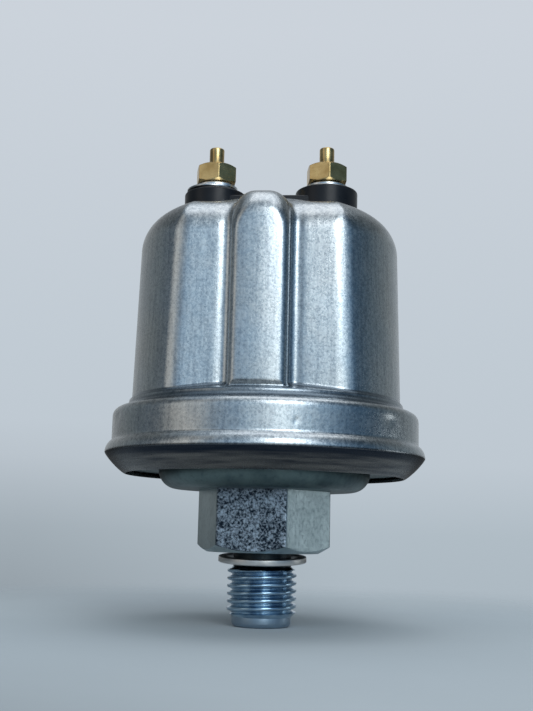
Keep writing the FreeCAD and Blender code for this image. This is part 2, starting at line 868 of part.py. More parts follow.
def make_rocker():
    """Hub with a short arm over the push pin and a tall arm for the wiper."""
    body = new_body("rocker")
    hub = size("hub_diameter") / 2
    bore = size("axle_diameter") / 2 + size("running_clearance")
    half = size("bracket_gap") / 2 - size("hub_side_gap")
    depth = size("arm_depth") / 2
    screw = adjuster_radius()

    def hub_outline(sketch):
        draw_circle(sketch, pivot_x, pivot_z, hub)

    def pad_outline(sketch):
        draw_box(sketch, pivot_x, pivot_z, size("pad_reach"), pivot_z + size("pad_thickness"))

    def arm_outline(sketch):
        draw_box(sketch, pivot_x - depth, pivot_z, pivot_x + depth, pivot_z + size("arm_height"))

    pad(body, "rocker_hub", "XZ_Plane", 0, half * 2, hub_outline).SideType = "Symmetric"
    pad(body, "rocker_pad", "XZ_Plane", 0, size("pad_width"), pad_outline).SideType = "Symmetric"
    pad(body, "rocker_arm", "XZ_Plane", 0, size("arm_width"), arm_outline).SideType = "Symmetric"
    doc.recompute()
    pad(body, "rocker_bore", "XZ_Plane", 0, half * 2,
        lambda sketch: draw_circle(sketch, pivot_x, pivot_z, bore), cut=True).SideType = "Symmetric"
    doc.recompute()
    pad(body, "rocker_screw_hole", "XY_Plane", pivot_z, size("pad_thickness"),
        lambda sketch: draw_circle(sketch, 0, 0, screw), cut=True)
    return body


def adjuster_radius():
    return size("pad_width") / 4


def make_adjuster():
    """Zero screw in the short arm; its flat tip meets the push pin."""
    radius = adjuster_radius()
    head = radius * 1.6
    head_z = pivot_z + size("pad_thickness")
    body = turned("adjusting_screw", [
        (0, pivot_z), (radius, pivot_z), (radius, head_z), (head, head_z), (head, head_z + radius),
        (0, head_z + radius),
    ])
    doc.recompute()
    pad(body, "adjusting_screw_slot", "XY_Plane", head_z + radius / 2, radius / 2,
        lambda sketch: draw_box(sketch, -head * 2, -radius / 4, head * 2, radius / 4), cut=True)
    return body


def make_wiper():
    """Thin spring strip on the tall arm's side."""
    half = size("wiper_width") / 2
    foot = pivot_z + size("arm_height") - size("wiper_overlap")
    top = pivot_z + size("wiper_height") + size("wiper_tip")
    side = -(size("arm_width") / 2) - size("wiper_thickness")
    return padded("wiper_strip", "XZ_Plane", side, size("wiper_thickness"),
                  lambda sketch: draw_box(sketch, pivot_x - half, foot, pivot_x + half, top))


def make_contact():
    """Silver button at the strip's end that slides on the winding."""
    radius = size("contact_diameter") / 2
    start = size("arm_width") / 2 + size("wiper_thickness")
    body = turned("wiper_contact", [
        (0, 0), (radius, 0), (radius, size("contact_length") - radius / 2),
        (radius / 2, size("contact_length"), radius / 2), (0, size("contact_length")),
    ])
    body.Placement = FreeCAD.Placement(FreeCAD.Vector(), FreeCAD.Rotation(FreeCAD.Vector(1, 0, 0), -90))
    place(body, x=pivot_x, y=start, z=pivot_z + size("wiper_height"))
    return body


# Resistor card and its holder

def card_centre_x():
    return pivot_x - size("card_shift")


def card_centre_z():
    return pivot_z + size("wiper_height")


def eyelet_places():
    reach = size("card_length") / 2 - size("card_margin") / 2
    return [card_centre_x() - reach, card_centre_x() + reach]


def make_card():
    half = size("card_length") / 2
    tall = size("card_height") / 2

    def card(sketch):
        draw_box(sketch, card_centre_x() - half, card_centre_z() - tall,
                 card_centre_x() + half, card_centre_z() + tall)
        for x in eyelet_places():
            draw_circle(sketch, x, card_centre_z(), size("eyelet_diameter") / 2)

    return padded("resistor_card", "XZ_Plane", -card_y() - size("card_thickness"), size("card_thickness"), card)


def make_winding():
    """Close turns of wire around the card, as one sleeve with a ridge for each group of turns."""
    body = new_body("resistance_winding")
    thick = size("winding_thickness")
    base = thick - size("winding_ridge")
    half = size("card_length") / 2 - size("card_margin")
    tall = size("card_height") / 2
    front = card_y()
    back = front + size("card_thickness")
    pitch = half * 2 / size("winding_turns")
    turns = round(SIZES["winding_turns"])

    def ring(sketch, out):
        draw_box(sketch, front - out, card_centre_z() - tall - out, back + out, card_centre_z() + tall + out)
        draw_box(sketch, front, card_centre_z() - tall, back, card_centre_z() + tall)

    left = card_centre_x() - half
    pad(body, "winding_sleeve", "YZ_Plane", left, half * 2, lambda sketch: ring(sketch, base))
    ridge = pad(body, "winding_ridge", "YZ_Plane", left, pitch / 2, lambda sketch: ring(sketch, thick))
    doc.recompute()
    pattern = body.newObject("PartDesign::LinearPattern", "winding_turns")
    pattern.Originals = [ridge]
    pattern.Direction = (base_plane(body, "X_Axis"), [""])
    bind(pattern, "Length", half * 2 - pitch)
    pattern.Occurrences = turns
    body.Tip = pattern
    return body


def make_holder():
    """Moulded post with a screwed foot, two lands for the card and a web behind."""
    body = new_body("card_holder")
    face = holder_face_y()
    back = face + size("holder_depth")
    half = size("card_length") / 2
    left, right = card_centre_x() - half, card_centre_x() + half
    top = card_centre_z() + size("card_height") / 2 + size("holder_cap")
    foot_top = carrier_top_z + size("holder_foot_height")
    hole = size("screw_diameter") / 2
    land = size("card_margin") - size("winding_gap") * 2
    card_back = card_y() + size("card_thickness")
    card_low = card_centre_z() - size("card_height") / 2
    web = size("holder_depth") / 2

    def foot(sketch):
        draw_box(sketch, left, face, right, face + size("holder_foot_depth"))
        for x, y in holder_screw_places():
            draw_circle(sketch, x, y, hole)

    def lands(sketch):
        draw_box(sketch, left, card_low, left + land, top)
        draw_box(sketch, right - land, card_low, right, top)
        for x in eyelet_places():
            draw_circle(sketch, x, card_centre_z(), size("eyelet_diameter") / 2)

    def web_outline(sketch):
        draw_outline(sketch, [
            (back, foot_top), (face + size("holder_foot_depth"), foot_top), (back, card_low),
        ])

    pad(body, "holder_foot", "XY_Plane", carrier_top_z, size("holder_foot_height"), foot)
    pad(body, "holder_post", "XY_Plane", carrier_top_z, top - carrier_top_z,
        lambda sketch: draw_box(sketch, left, face, right, back))
    pad(body, "holder_lands", "XZ_Plane", -face, size("holder_gap"), lands)
    pad(body, "holder_web", "YZ_Plane", card_centre_x() - web / 2, web, web_outline)
    doc.recompute()
    return body


def make_eyelets():
    """Two rivets that hold the card to the holder's lands; the left one takes the lead strip's ear too."""
    radius = size("eyelet_diameter") / 2
    head = size("eyelet_head_diameter") / 2
    thick = size("eyelet_head_height")
    rivets = []
    for index, (x, ear) in enumerate(zip(eyelet_places(), (size("strip_thickness"), length(0.0))), start=1):
        end = thick + ear + size("card_thickness") + size("holder_gap")
        front = card_y() - ear - thick
        rivet = turned(f"card_rivet_{index}", [
            (0, 0), (head, 0), (head, thick), (radius, thick), (radius, end), (0, end),
        ])
        turn_over = FreeCAD.Rotation(FreeCAD.Vector(1, 0, 0), -90)
        rivet.Placement = FreeCAD.Placement(FreeCAD.Vector(), turn_over)
        place(rivet, x=x, y=front, z=card_centre_z())
        rivets.append(rivet)
    return group("card_rivets", rivets)


def group(label, items):
    item = doc.addObject("Part::Compound", label)
    item.Label = label
    item.Links = items
    return item


def make_screws(label, places, seat_z):
    """Cheese head screws down through a foot and the carrier plate."""
    radius = size("screw_diameter") / 2
    head = size("screw_head_diameter") / 2
    tall = size("screw_head_height")
    slot = size("screw_diameter") / 8
    tip = carrier_z - size("screw_end")
    screws = []
    for index, (x, y) in enumerate(places, start=1):
        screw = turned(f"{label}_{index}", [
            (0, tip), (radius, tip), (radius, seat_z), (head, seat_z), (head, seat_z + tall), (0, seat_z + tall),
        ])
        doc.recompute()
        pad(screw, f"{label}_{index}_slot", "XY_Plane", seat_z + tall / 2, tall / 2,
            lambda sketch: draw_box(sketch, -head * 2, -slot, head * 2, slot), cut=True)
        place(screw, x=x, y=y)
        screws.append(screw)
    return group(label, screws)


# Terminal plate and studs

def make_terminal_plate():
    """Black moulding: disc inside the can, web through its top and a boss round each stud."""
    body = new_body("terminal_plate")
    boss = size("boss_radius")
    disc = disc_radius
    hole = stud_radius + size("screw_clearance")
    step_z = boss_top_z - size("boss_step")
    pad(body, "plate_disc", "XY_Plane", disc_z, size("terminal_disc_thickness"),
        lambda sketch: draw_circle(sketch, 0, 0, disc))
    doc.recompute()
    pad(body, "plate_flat", "XY_Plane", disc_z, size("terminal_disc_thickness"),
        lambda sketch: draw_box(sketch, -disc, -disc * 2, disc, -disc_flat), cut=True)
    pad(body, "plate_web", "XY_Plane", disc_z, web_top_z - disc_z,
        lambda sketch: draw_box(sketch, -terminal_x, -size("web_width") / 2, terminal_x, size("web_width") / 2))
    pad(body, "right_boss", "XY_Plane", disc_z, boss_top_z - disc_z,
        lambda sketch: draw_circle(sketch, terminal_x, 0, boss))
    pad(body, "left_boss", "XY_Plane", disc_z, step_z - disc_z,
        lambda sketch: draw_circle(sketch, -terminal_x, 0, boss))
    pad(body, "left_boss_step", "XY_Plane", disc_z, boss_top_z - disc_z,
        lambda sketch: draw_circle(sketch, -terminal_x, 0, size("boss_pad_radius")))
    doc.recompute()

    def stud_holes(sketch):
        draw_circle(sketch, -terminal_x, 0, hole)
        draw_circle(sketch, terminal_x, 0, hole)

    pad(body, "stud_holes", "XY_Plane", disc_z, boss_top_z - disc_z, stud_holes, cut=True)
    return body


def make_terminal_gasket():
    """Slotted ring between the terminal plate and the can's top."""
    inner = size("boss_radius") + size("opening_clearance")

    def slot_ring(sketch):
        draw_slot(sketch, terminal_x * 2, inner + size("terminal_gasket_width"))
        draw_slot(sketch, terminal_x * 2, inner)

    return padded("terminal_gasket", "XY_Plane", disc_top_z, size("terminal_gasket_thickness"), slot_ring)


def make_stud(side, sign):
    """Brass stud: flat head inside, thread through the boss and nut, plain tip above."""
    head = size("stud_head_diameter") / 2
    tip = size("stud_tip_diameter") / 2
    chamfer = size("stud_tip_chamfer")
    head_z = strip_z - size("stud_head_thickness")
    shank_top = nut_top_z - chamfer
    body = turned(f"stud_{side}", [
        (0, head_z), (head, head_z), (head, strip_z), (stud_radius, strip_z), (stud_radius, shank_top),
        (tip, nut_top_z + chamfer), (tip, stud_top_z - chamfer), (tip - chamfer, stud_top_z), (0, stud_top_z),
    ])
    place(body, x=terminal_x * sign)
    return body


def make_washer(side, sign):
    inner = stud_radius + size("washer_clearance")
    outer = size("washer_diameter") / 2
    body = turned(f"washer_{side}", [
        (inner, boss_top_z), (outer, boss_top_z), (outer, washer_top_z), (inner, washer_top_z),
    ])
    place(body, x=terminal_x * sign)
    return body


def make_lock_washer(side, sign):
    """Domed spring washer, high in the middle."""
    inner = stud_radius + size("washer_clearance")
    outer = size("spring_washer_diameter") / 2
    thick = size("spring_washer_thickness")
    rise = size("spring_washer_rise")
    crown = inner + (outer - inner) / 3
    body = turned(f"lock_washer_{side}", [
        (inner, washer_top_z + rise), (crown, washer_top_z + rise), (outer, washer_top_z),
        (outer, washer_top_z + thick), (crown, washer_top_z + rise + thick),
        (inner, washer_top_z + rise + thick),
    ])
    place(body, x=terminal_x * sign)
    return body


def make_nut(side, sign):
    body = new_body(f"nut_{side}")
    corner = size("nut_across_flats") / math.sqrt(3)
    face = size("nut_face_diameter") / 2
    drop = (corner - face) * math.tan(math.radians(30))
    turn(body, f"nut_{side}_turning", [
        (stud_radius, nut_z), (face, nut_z), (corner, nut_z + drop), (corner, nut_top_z - drop),
        (face, nut_top_z), (stud_radius, nut_top_z),
    ])
    doc.recompute()

    def around_hexagon(sketch):
        bind(sketch, "AttachmentOffset.Rotation.Angle", size(f"nut_turn_{side}"))
        draw_circle(sketch, 0, 0, size("nut_across_flats"))
        draw_hexagon(sketch, size("nut_across_flats"))

    pad(body, f"nut_{side}_flats", "XY_Plane", nut_z, size("nut_height"), around_hexagon, cut=True)
    place(body, x=terminal_x * sign)
    return body


# Lead strips

def strip_eye(body, name, x, path):
    """Strip bent as path says, with a round eye clamped under the stud at x."""
    eye = size("stud_head_diameter") / 2
    thick = size("strip_thickness")
    pad(body, f"{name}_path", "XZ_Plane", 0, size("strip_width"), path).SideType = "Symmetric"
    pad(body, f"{name}_eye", "XY_Plane", strip_z, thick, lambda sketch: draw_circle(sketch, x, 0, eye))
    doc.recompute()
    pad(body, f"{name}_hole", "XY_Plane", strip_z, thick,
        lambda sketch: draw_circle(sketch, x, 0, stud_radius), cut=True)
    doc.recompute()


def make_lead_strip():
    """Brass strip from the left stud down to the wound card, where a rivet holds its ear."""
    body = new_body("lead_strip")
    thick = size("strip_thickness")
    half = size("strip_width") / 2
    beside_card = size("card_length") / 2 - card_centre_x()
    right = -(larger(terminal_x + size("stud_head_diameter") / 2, beside_card) + size("strip_end_gap"))
    left = right - thick
    ear_low = card_centre_z() - half
    ear_face = card_y() - thick
    eye_x = -terminal_x
    ear_end = eyelet_places()[0] + size("eyelet_head_diameter") / 2

    def path(sketch):
        draw_outline(sketch, [
            (eye_x, disc_z), (left, disc_z), (left, ear_low), (right, ear_low), (right, strip_z), (eye_x, strip_z),
        ])

    def ear(sketch):
        draw_box(sketch, left, ear_low, ear_end, ear_low + half * 2)
        draw_circle(sketch, eyelet_places()[0], card_centre_z(), size("eyelet_diameter") / 2)

    strip_eye(body, "lead", eye_x, path)
    pad(body, "lead_turn", "YZ_Plane", left, thick,
        lambda sketch: draw_box(sketch, 0, ear_low, card_y(), ear_low + half * 2))
    pad(body, "lead_ear", "XZ_Plane", -card_y(), thick, ear)
    return body


def make_warning_strip():
    """Brass strip from the right stud to the tall arm, where it makes the low pressure contact."""
    body = new_body("warning_contact_strip")
    thick = size("strip_thickness")
    near = pivot_x + size("arm_depth") / 2 + size("strip_end_gap")
    shelf_z = pivot_z + size("warning_drop") + size("warning_tongue") / 2
    foot_z = shelf_z - size("warning_tongue")
    side = terminal_x - size("stud_head_diameter") / 2 - size("warning_gap") - thick

    def path(sketch):
        draw_outline(sketch, [
            (terminal_x, strip_z), (terminal_x, disc_z), (side, disc_z), (side, shelf_z + thick),
            (near + thick, shelf_z + thick), (near, shelf_z), (near, foot_z), (near + thick, foot_z),
            (near + thick, shelf_z), (side + thick, shelf_z), (side + thick, strip_z),
        ])

    strip_eye(body, "warning", terminal_x, path)
    return body


sides = (("left", -1), ("right", 1))
nodes = [
    make_port(), make_jet(), make_seal(), make_base_plate(), make_can(), make_crimp_gasket(), make_diaphragm(),
    make_clamp_ring(), make_carrier(), make_pusher(), make_push_pin(), make_bush(), make_return_spring(),
    make_bracket(), make_axle(), make_rocker(), make_adjuster(), make_wiper(), make_contact(), make_card(),
    make_winding(), make_holder(), make_eyelets(),
    make_screws("bracket_screws", bracket_screw_places(), carrier_top_z + size("bracket_thickness")),
    make_screws("holder_screws", holder_screw_places(), carrier_top_z + size("holder_foot_height")),
    make_terminal_plate(), make_terminal_gasket(), make_lead_strip(), make_warning_strip(),
]
for side, sign in sides:
    nodes += [make_stud(side, sign), make_washer(side, sign), make_lock_washer(side, sign), make_nut(side, sign)]

doc.recompute()
for item in doc.Objects:
    if "Invalid" in item.State or "Error" in item.State:
        raise RuntimeError(f"{item.Label} did not recompute: {item.State}")
for item in nodes:
    if item.Shape.isNull() or not item.Shape.isValid() or item.Shape.Volume <= 0:
        raise RuntimeError(f"{item.Label} has no sound solid")

os.makedirs("parts", exist_ok=True)
for item in nodes:
    item.Shape.exportStep(f"parts/{item.Label}.step")
    print(f"{item.Label}: {len(item.Shape.Solids)} solid(s), {item.Shape.Volume:.1f} mm3")
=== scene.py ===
import math

import bmesh
import bpy
import numpy as np
from mathutils import Matrix, Vector


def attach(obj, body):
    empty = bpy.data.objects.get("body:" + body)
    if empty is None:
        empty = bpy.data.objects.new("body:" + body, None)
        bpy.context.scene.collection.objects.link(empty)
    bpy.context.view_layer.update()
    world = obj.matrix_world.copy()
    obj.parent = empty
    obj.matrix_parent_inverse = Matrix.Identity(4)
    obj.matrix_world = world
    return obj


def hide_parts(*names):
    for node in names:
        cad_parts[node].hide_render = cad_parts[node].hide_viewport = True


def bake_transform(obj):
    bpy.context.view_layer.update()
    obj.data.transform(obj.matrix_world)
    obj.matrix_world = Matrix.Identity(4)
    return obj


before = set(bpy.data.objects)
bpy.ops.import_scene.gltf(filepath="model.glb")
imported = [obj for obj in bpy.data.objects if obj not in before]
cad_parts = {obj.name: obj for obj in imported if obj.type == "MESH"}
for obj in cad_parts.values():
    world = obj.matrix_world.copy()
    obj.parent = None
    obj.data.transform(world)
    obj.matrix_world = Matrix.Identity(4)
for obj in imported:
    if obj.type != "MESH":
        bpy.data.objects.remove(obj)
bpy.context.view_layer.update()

mm = 0.001
plainWhite = (1.0, 1.0, 1.0)


# Nodes that several finishes share

def newMaterial(name):
    material = bpy.data.materials.new(name)
    material.use_nodes = True
    material.node_tree.nodes.clear()
    return material, material.node_tree


def addNode(tree, kind, **values):
    node = tree.nodes.new(kind)
    for key, value in values.items():
        setattr(node, key, value)
    return node


def feed(tree, socket, value):
    if isinstance(value, (int, float)):
        socket.default_value = value
    elif isinstance(value, tuple):
        socket.default_value = (*value, 1.0)
    else:
        tree.links.new(value, socket)


def objectCoords(tree, stretch=(1, 1, 1)):
    coords = addNode(tree, "ShaderNodeTexCoord")
    mapping = addNode(tree, "ShaderNodeMapping")
    mapping.inputs["Scale"].default_value = stretch
    tree.links.new(coords.outputs["Object"], mapping.inputs["Vector"])
    return mapping.outputs["Vector"]


def noise(tree, vector, scale, detail=4.0, roughness=0.55):
    node = addNode(tree, "ShaderNodeTexNoise")
    node.inputs["Scale"].default_value = scale
    node.inputs["Detail"].default_value = detail
    node.inputs["Roughness"].default_value = roughness
    tree.links.new(vector, node.inputs["Vector"])
    return node.outputs["Fac"]


def remap(tree, value, low, high, toLow, toHigh):
    node = addNode(tree, "ShaderNodeMapRange")
    for socket, number in (("From Min", low), ("From Max", high), ("To Min", toLow), ("To Max", toHigh)):
        node.inputs[socket].default_value = number
    tree.links.new(value, node.inputs["Value"])
    return node.outputs["Result"]


def colourRamp(tree, value, stops):
    node = addNode(tree, "ShaderNodeValToRGB")
    ramp = node.color_ramp
    while len(ramp.elements) < len(stops):
        ramp.elements.new(0.5)
    for element, (place, colour) in zip(ramp.elements, stops):
        element.position = place
        element.color = (*colour, 1.0)
    tree.links.new(value, node.inputs["Fac"])
    return node.outputs["Color"]


def mixColours(tree, factor, first, second, blend="MIX"):
    node = addNode(tree, "ShaderNodeMix", data_type="RGBA", blend_type=blend)
    for socket, value in ((node.inputs[0], factor), (node.inputs[6], first), (node.inputs[7], second)):
        feed(tree, socket, value)
    return node.outputs[2]


def maths(tree, operation, first, second):
    node = addNode(tree, "ShaderNodeMath", operation=operation)
    feed(tree, node.inputs[0], first)
    feed(tree, node.inputs[1], second)
    return node.outputs[0]


# Two noises added up, the second with this share
def weigh(tree, first, second, share):
    firstPart = maths(tree, "MULTIPLY", first, 1 - share)
    return maths(tree, "ADD", firstPart, maths(tree, "MULTIPLY", second, share))


def heightAt(tree):
    split = addNode(tree, "ShaderNodeSeparateXYZ")
    tree.links.new(objectCoords(tree), split.inputs[0])
    return split.outputs["Z"]


# How far up the surface faces, from 0 on a wall to 1 on a level top
def facingUp(tree):
    geometry = addNode(tree, "ShaderNodeNewGeometry")
    split = addNode(tree, "ShaderNodeSeparateXYZ")
    tree.links.new(geometry.outputs["Normal"], split.inputs[0])
    return split.outputs["Z"]


def bump(tree, height, strength, distance, below=None):
    node = addNode(tree, "ShaderNodeBump")
    node.inputs["Strength"].default_value = strength
    node.inputs["Distance"].default_value = distance
    tree.links.new(height, node.inputs["Height"])
    if below is not None:
        tree.links.new(below, node.inputs["Normal"])
    return node.outputs["Normal"]


def surface(tree, colour, roughness, normal=None, metallic=0.0, gloss=0.5):
    shader = addNode(tree, "ShaderNodeBsdfPrincipled")
    output = addNode(tree, "ShaderNodeOutputMaterial")
    shader.inputs["Metallic"].default_value = metallic
    shader.inputs["Specular IOR Level"].default_value = gloss
    tree.links.new(colour, shader.inputs["Base Color"])
    tree.links.new(roughness, shader.inputs["Roughness"])
    if normal is not None:
        tree.links.new(normal, shader.inputs["Normal"])
    tree.links.new(shader.outputs["BSDF"], output.inputs["Surface"])


# Satin can: fine speckle, drawn streaks up the wall, and a darkened underside to the crimp: tarnish streaks
# with painted shade, and a painted dark reflection as a ring at its edge
canFinish = {
    "speckScale": 1900.0,
    "cloudScale": 620.0,
    "streakScale": 1500.0,
    "streakStretch": (1, 1, 0.06),
    "patchScale": 70.0,
    "bandScale": 1500.0,
    "bandStretch": (0.06, 0.06, 1),
    "coldTone": (0.555, 0.600, 0.630),
    "warmTone": (0.590, 0.605, 0.605),
    "mottle": (0.88, 0.89, 0.90),
    "mottleShare": 0.7,
    "line": (0.70, 0.72, 0.75),
    "lineShare": 0.7,
    "dot": (0.50, 0.52, 0.55),
    "dotShare": 0.8,
    "residueAndShadeTop": 0.0343,
    "residueAndShadeFoot": 0.0337,
    # Crimp underside: tarnish streaks made dark as painted shade; the ring tone is a painted dark
    # reflection
    "residueAndShade": (0.050, 0.054, 0.062),
    "residueAndShadeLight": (0.175, 0.165, 0.155),
    "reflectionRingTone": (0.008, 0.016, 0.030),
    "ringShare": 0.85,
    "ringFrom": 0.0322,
    "ringFull": 0.0329,
    # Painted shade in the concave foot of the wall
    "creviceShade": (0.10, 0.14, 0.18),
    "creviceShare": 0.85,
    "creviceFrom": 0.0425,
    "creviceTo": 0.0466,
    "creviceEdge": 0.0004,
    "creviceLevel": (0.1, 0.5),  # how far up a surface has to face
    "roughLow": 0.20,
    "roughHigh": 0.34,
    "speckBump": 0.75,
    "cloudBump": 0.30,
    "streakBump": 0.16,
    "grainDepth": 0.00003,
}


def satinAluminium():
    look = canFinish
    material, tree = newMaterial("satinAluminium")
    plain = objectCoords(tree)
    drawn = objectCoords(tree, look["streakStretch"])
    rings = objectCoords(tree, look["bandStretch"])
    speck = noise(tree, plain, look["speckScale"], 5.0, 0.7)
    cloud = noise(tree, plain, look["cloudScale"], 4.0, 0.6)
    streaks = noise(tree, drawn, look["streakScale"], 5.0)
    patches = noise(tree, plain, look["patchScale"], 3.0)
    tone = colourRamp(tree, patches, [(0.35, look["coldTone"]), (0.65, look["warmTone"])])
    mottle = colourRamp(tree, cloud, [(0.30, look["mottle"]), (0.66, plainWhite)])
    lines = colourRamp(tree, streaks, [(0.36, look["line"]), (0.60, plainWhite)])
    dots = colourRamp(tree, speck, [(0.33, look["dot"]), (0.57, plainWhite)])
    colour = mixColours(tree, look["mottleShare"], tone, mottle, "MULTIPLY")
    colour = mixColours(tree, look["dotShare"], colour, dots, "MULTIPLY")
    colour = mixColours(tree, look["lineShare"], colour, lines, "MULTIPLY")

    # Underside of the crimp: tarnish streaks darkened with painted shade, and a darker ring at its edge
    # that is a painted dark reflection
    under = remap(tree, heightAt(tree), look["residueAndShadeFoot"], look["residueAndShadeTop"], 1.0, 0.0)
    bands = noise(tree, rings, look["bandScale"], 4.0)
    residueShadeTone = colourRamp(tree, bands, [(0.35, look["residueAndShade"]), (0.68, look["residueAndShadeLight"])])
    ring = remap(tree, heightAt(tree), look["ringFrom"], look["ringFull"], 0.0, look["ringShare"])
    colour = mixColours(tree, under, colour, mixColours(tree, ring, residueShadeTone, look["reflectionRingTone"]))

    # Painted shade where the wall meets the flange, on faces that look up
    edge = look["creviceEdge"]
    low = remap(tree, heightAt(tree), look["creviceTo"], look["creviceTo"] - edge, 0.0, 1.0)
    high = remap(tree, heightAt(tree), look["creviceFrom"], look["creviceFrom"] + edge, 0.0, 1.0)
    level = remap(tree, facingUp(tree), *look["creviceLevel"], 0.0, look["creviceShare"])
    paintedShadeMask = maths(tree, "MULTIPLY", low, maths(tree, "MULTIPLY", high, level))
    colour = mixColours(tree, paintedShadeMask, colour, look["creviceShade"])

    mixed = weigh(tree, speck, cloud, 0.5)
    roughness = remap(tree, mixed, 0.35, 0.65, look["roughLow"], look["roughHigh"])
    fine = bump(tree, speck, look["speckBump"], look["grainDepth"])
    wide = bump(tree, cloud, look["cloudBump"], look["grainDepth"] * 2, fine)
    normal = bump(tree, streaks, look["streakBump"], look["grainDepth"], wide)
    surface(tree, colour, roughness, normal, metallic=1.0)
    return material


# Zinc plated steel; the hexagon's front face has lost its plating and is dark and pitted, and the port's
# gap under the hexagon gets painted shade
zincFinish = {
    "grainScale": 1300.0,
    "patchScale": 130.0,
    "darkTone": (0.36, 0.44, 0.46),
    "lightTone": (0.46, 0.55, 0.57),
    # Base plate tones: dark zinc, darkened further as a painted dark reflection
    "reflectionZincDark": (0.050, 0.078, 0.084),
    "reflectionZincLight": (0.13, 0.18, 0.18),
    "fleck": (0.78, 0.79, 0.80),
    "fleckShare": 0.8,
    "roughLow": 0.32,
    "roughHigh": 0.44,
    "grainBump": 0.3,
    "grainDepth": 0.00001,
    "metal": 0.92,
    "pitScale": 2300.0,
    "scuffScale": 520.0,
    "scuffShare": 0.35,
    "pitted": (0.012, 0.020, 0.032),
    "scuffed": (0.48, 0.56, 0.64),
    "pitBump": 0.8,
    "pitDepth": 0.00010,
    "faceNormal": (-0.1305, -0.9914, 0.0),
    "faceFrom": 0.01188,
    "gap": (0.0115, 0.01463),  # heights between thread and hexagon
    # Painted shade tone for the gap under the hexagon
    "gapShadeTone": (0.035, 0.045, 0.050),
    "noseTop": 0.0026,
    "noseTone": (0.26, 0.34, 0.42),
}


def zincPlate(name, darkTone, lightTone, bareFaceAndShade=False):
    look = zincFinish
    material, tree = newMaterial(name)
    plain = objectCoords(tree)
    grain = noise(tree, plain, look["grainScale"], 4.0, 0.6)
    patches = noise(tree, plain, look["patchScale"], 4.0, 0.55)
    tone = colourRamp(tree, patches, [(0.36, darkTone), (0.64, lightTone)])
    fleck = colourRamp(tree, grain, [(0.30, look["fleck"]), (0.48, plainWhite)])
    colour = mixColours(tree, look["fleckShare"], tone, fleck, "MULTIPLY")
    roughness = remap(tree, grain, 0.3, 0.7, look["roughHigh"], look["roughLow"])
    normal = bump(tree, grain, look["grainBump"], look["grainDepth"])
    if bareFaceAndShade:
        height = heightAt(tree)
        # Painted shade in the gap between thread and hexagon
        gap = maths(tree, "MULTIPLY", maths(tree, "GREATER_THAN", height, look["gap"][0]),
                    maths(tree, "LESS_THAN", height, look["gap"][1]))
        colour = mixColours(tree, gap, colour, look["gapShadeTone"])
        nose = maths(tree, "LESS_THAN", height, look["noseTop"])
        colour = mixColours(tree, nose, colour, look["noseTone"])
        away = addNode(tree, "ShaderNodeVectorMath", operation="DOT_PRODUCT")
        away.inputs[1].default_value = look["faceNormal"]
        tree.links.new(plain, away.inputs[0])
        face = maths(tree, "GREATER_THAN", away.outputs["Value"], look["faceFrom"])
        pits = noise(tree, plain, look["pitScale"], 4.0, 0.7)
        scuffs = noise(tree, plain, look["scuffScale"], 4.0, 0.6)
        both = weigh(tree, pits, scuffs, look["scuffShare"])
        bare = colourRamp(tree, both, [(0.44, look["pitted"]), (0.60, look["scuffed"])])
        colour = mixColours(tree, face, colour, bare)
        pitted = bump(tree, both, look["pitBump"], look["pitDepth"], normal)
        choice = addNode(tree, "ShaderNodeMix", data_type="VECTOR")
        for socket, value in ((0, face), (4, normal), (5, pitted)):
            tree.links.new(value, choice.inputs[socket])
        normal = choice.outputs[1]
    surface(tree, colour, roughness, normal, metallic=look["metal"])
    return material


# Bare or plated metal with the fine rings that a lathe leaves
turnedFinish = {
    "ringStretch": (0.08, 0.08, 1),
    "line": (0.86, 0.86, 0.86),
    "lineShare": 0.6,
    "patchScale": 320.0,
    "ringBump": 0.2,
    "ringDepth": 0.00001,
}


def turnedMetal(name, light, dark, roughLow, roughHigh, ringScale=1400.0):
    look = turnedFinish
    material, tree = newMaterial(name)
    marks = noise(tree, objectCoords(tree, look["ringStretch"]), ringScale, 3.0)
    patches = noise(tree, objectCoords(tree), look["patchScale"], 5.0)
    tone = colourRamp(tree, patches, [(0.34, dark), (0.62, light)])
    line = colourRamp(tree, marks, [(0.30, look["line"]), (0.55, plainWhite)])
    colour = mixColours(tree, look["lineShare"], tone, line, "MULTIPLY")
    roughness = remap(tree, weigh(tree, marks, patches, 0.6), 0.3, 0.7, roughLow, roughHigh)
    normal = bump(tree, marks, look["ringBump"], look["ringDepth"])
    surface(tree, colour, roughness, normal, metallic=1.0)
    return material


# Mouldings, card and gaskets
def dullSheet(name, light, dark, roughLow, roughHigh, grainScale=1500.0, grain=0.25, gloss=0.5):
    material, tree = newMaterial(name)
    plain = objectCoords(tree)
    fine = noise(tree, plain, grainScale, 3.0)
    patches = noise(tree, plain, 160.0, 4.0)
    colour = colourRamp(tree, patches, [(0.35, dark), (0.65, light)])
    roughness = remap(tree, weigh(tree, fine, patches, 0.5), 0.3, 0.7, roughLow, roughHigh)
    surface(tree, colour, roughness, bump(tree, fine, grain, 0.00002), gloss=gloss)
    return material


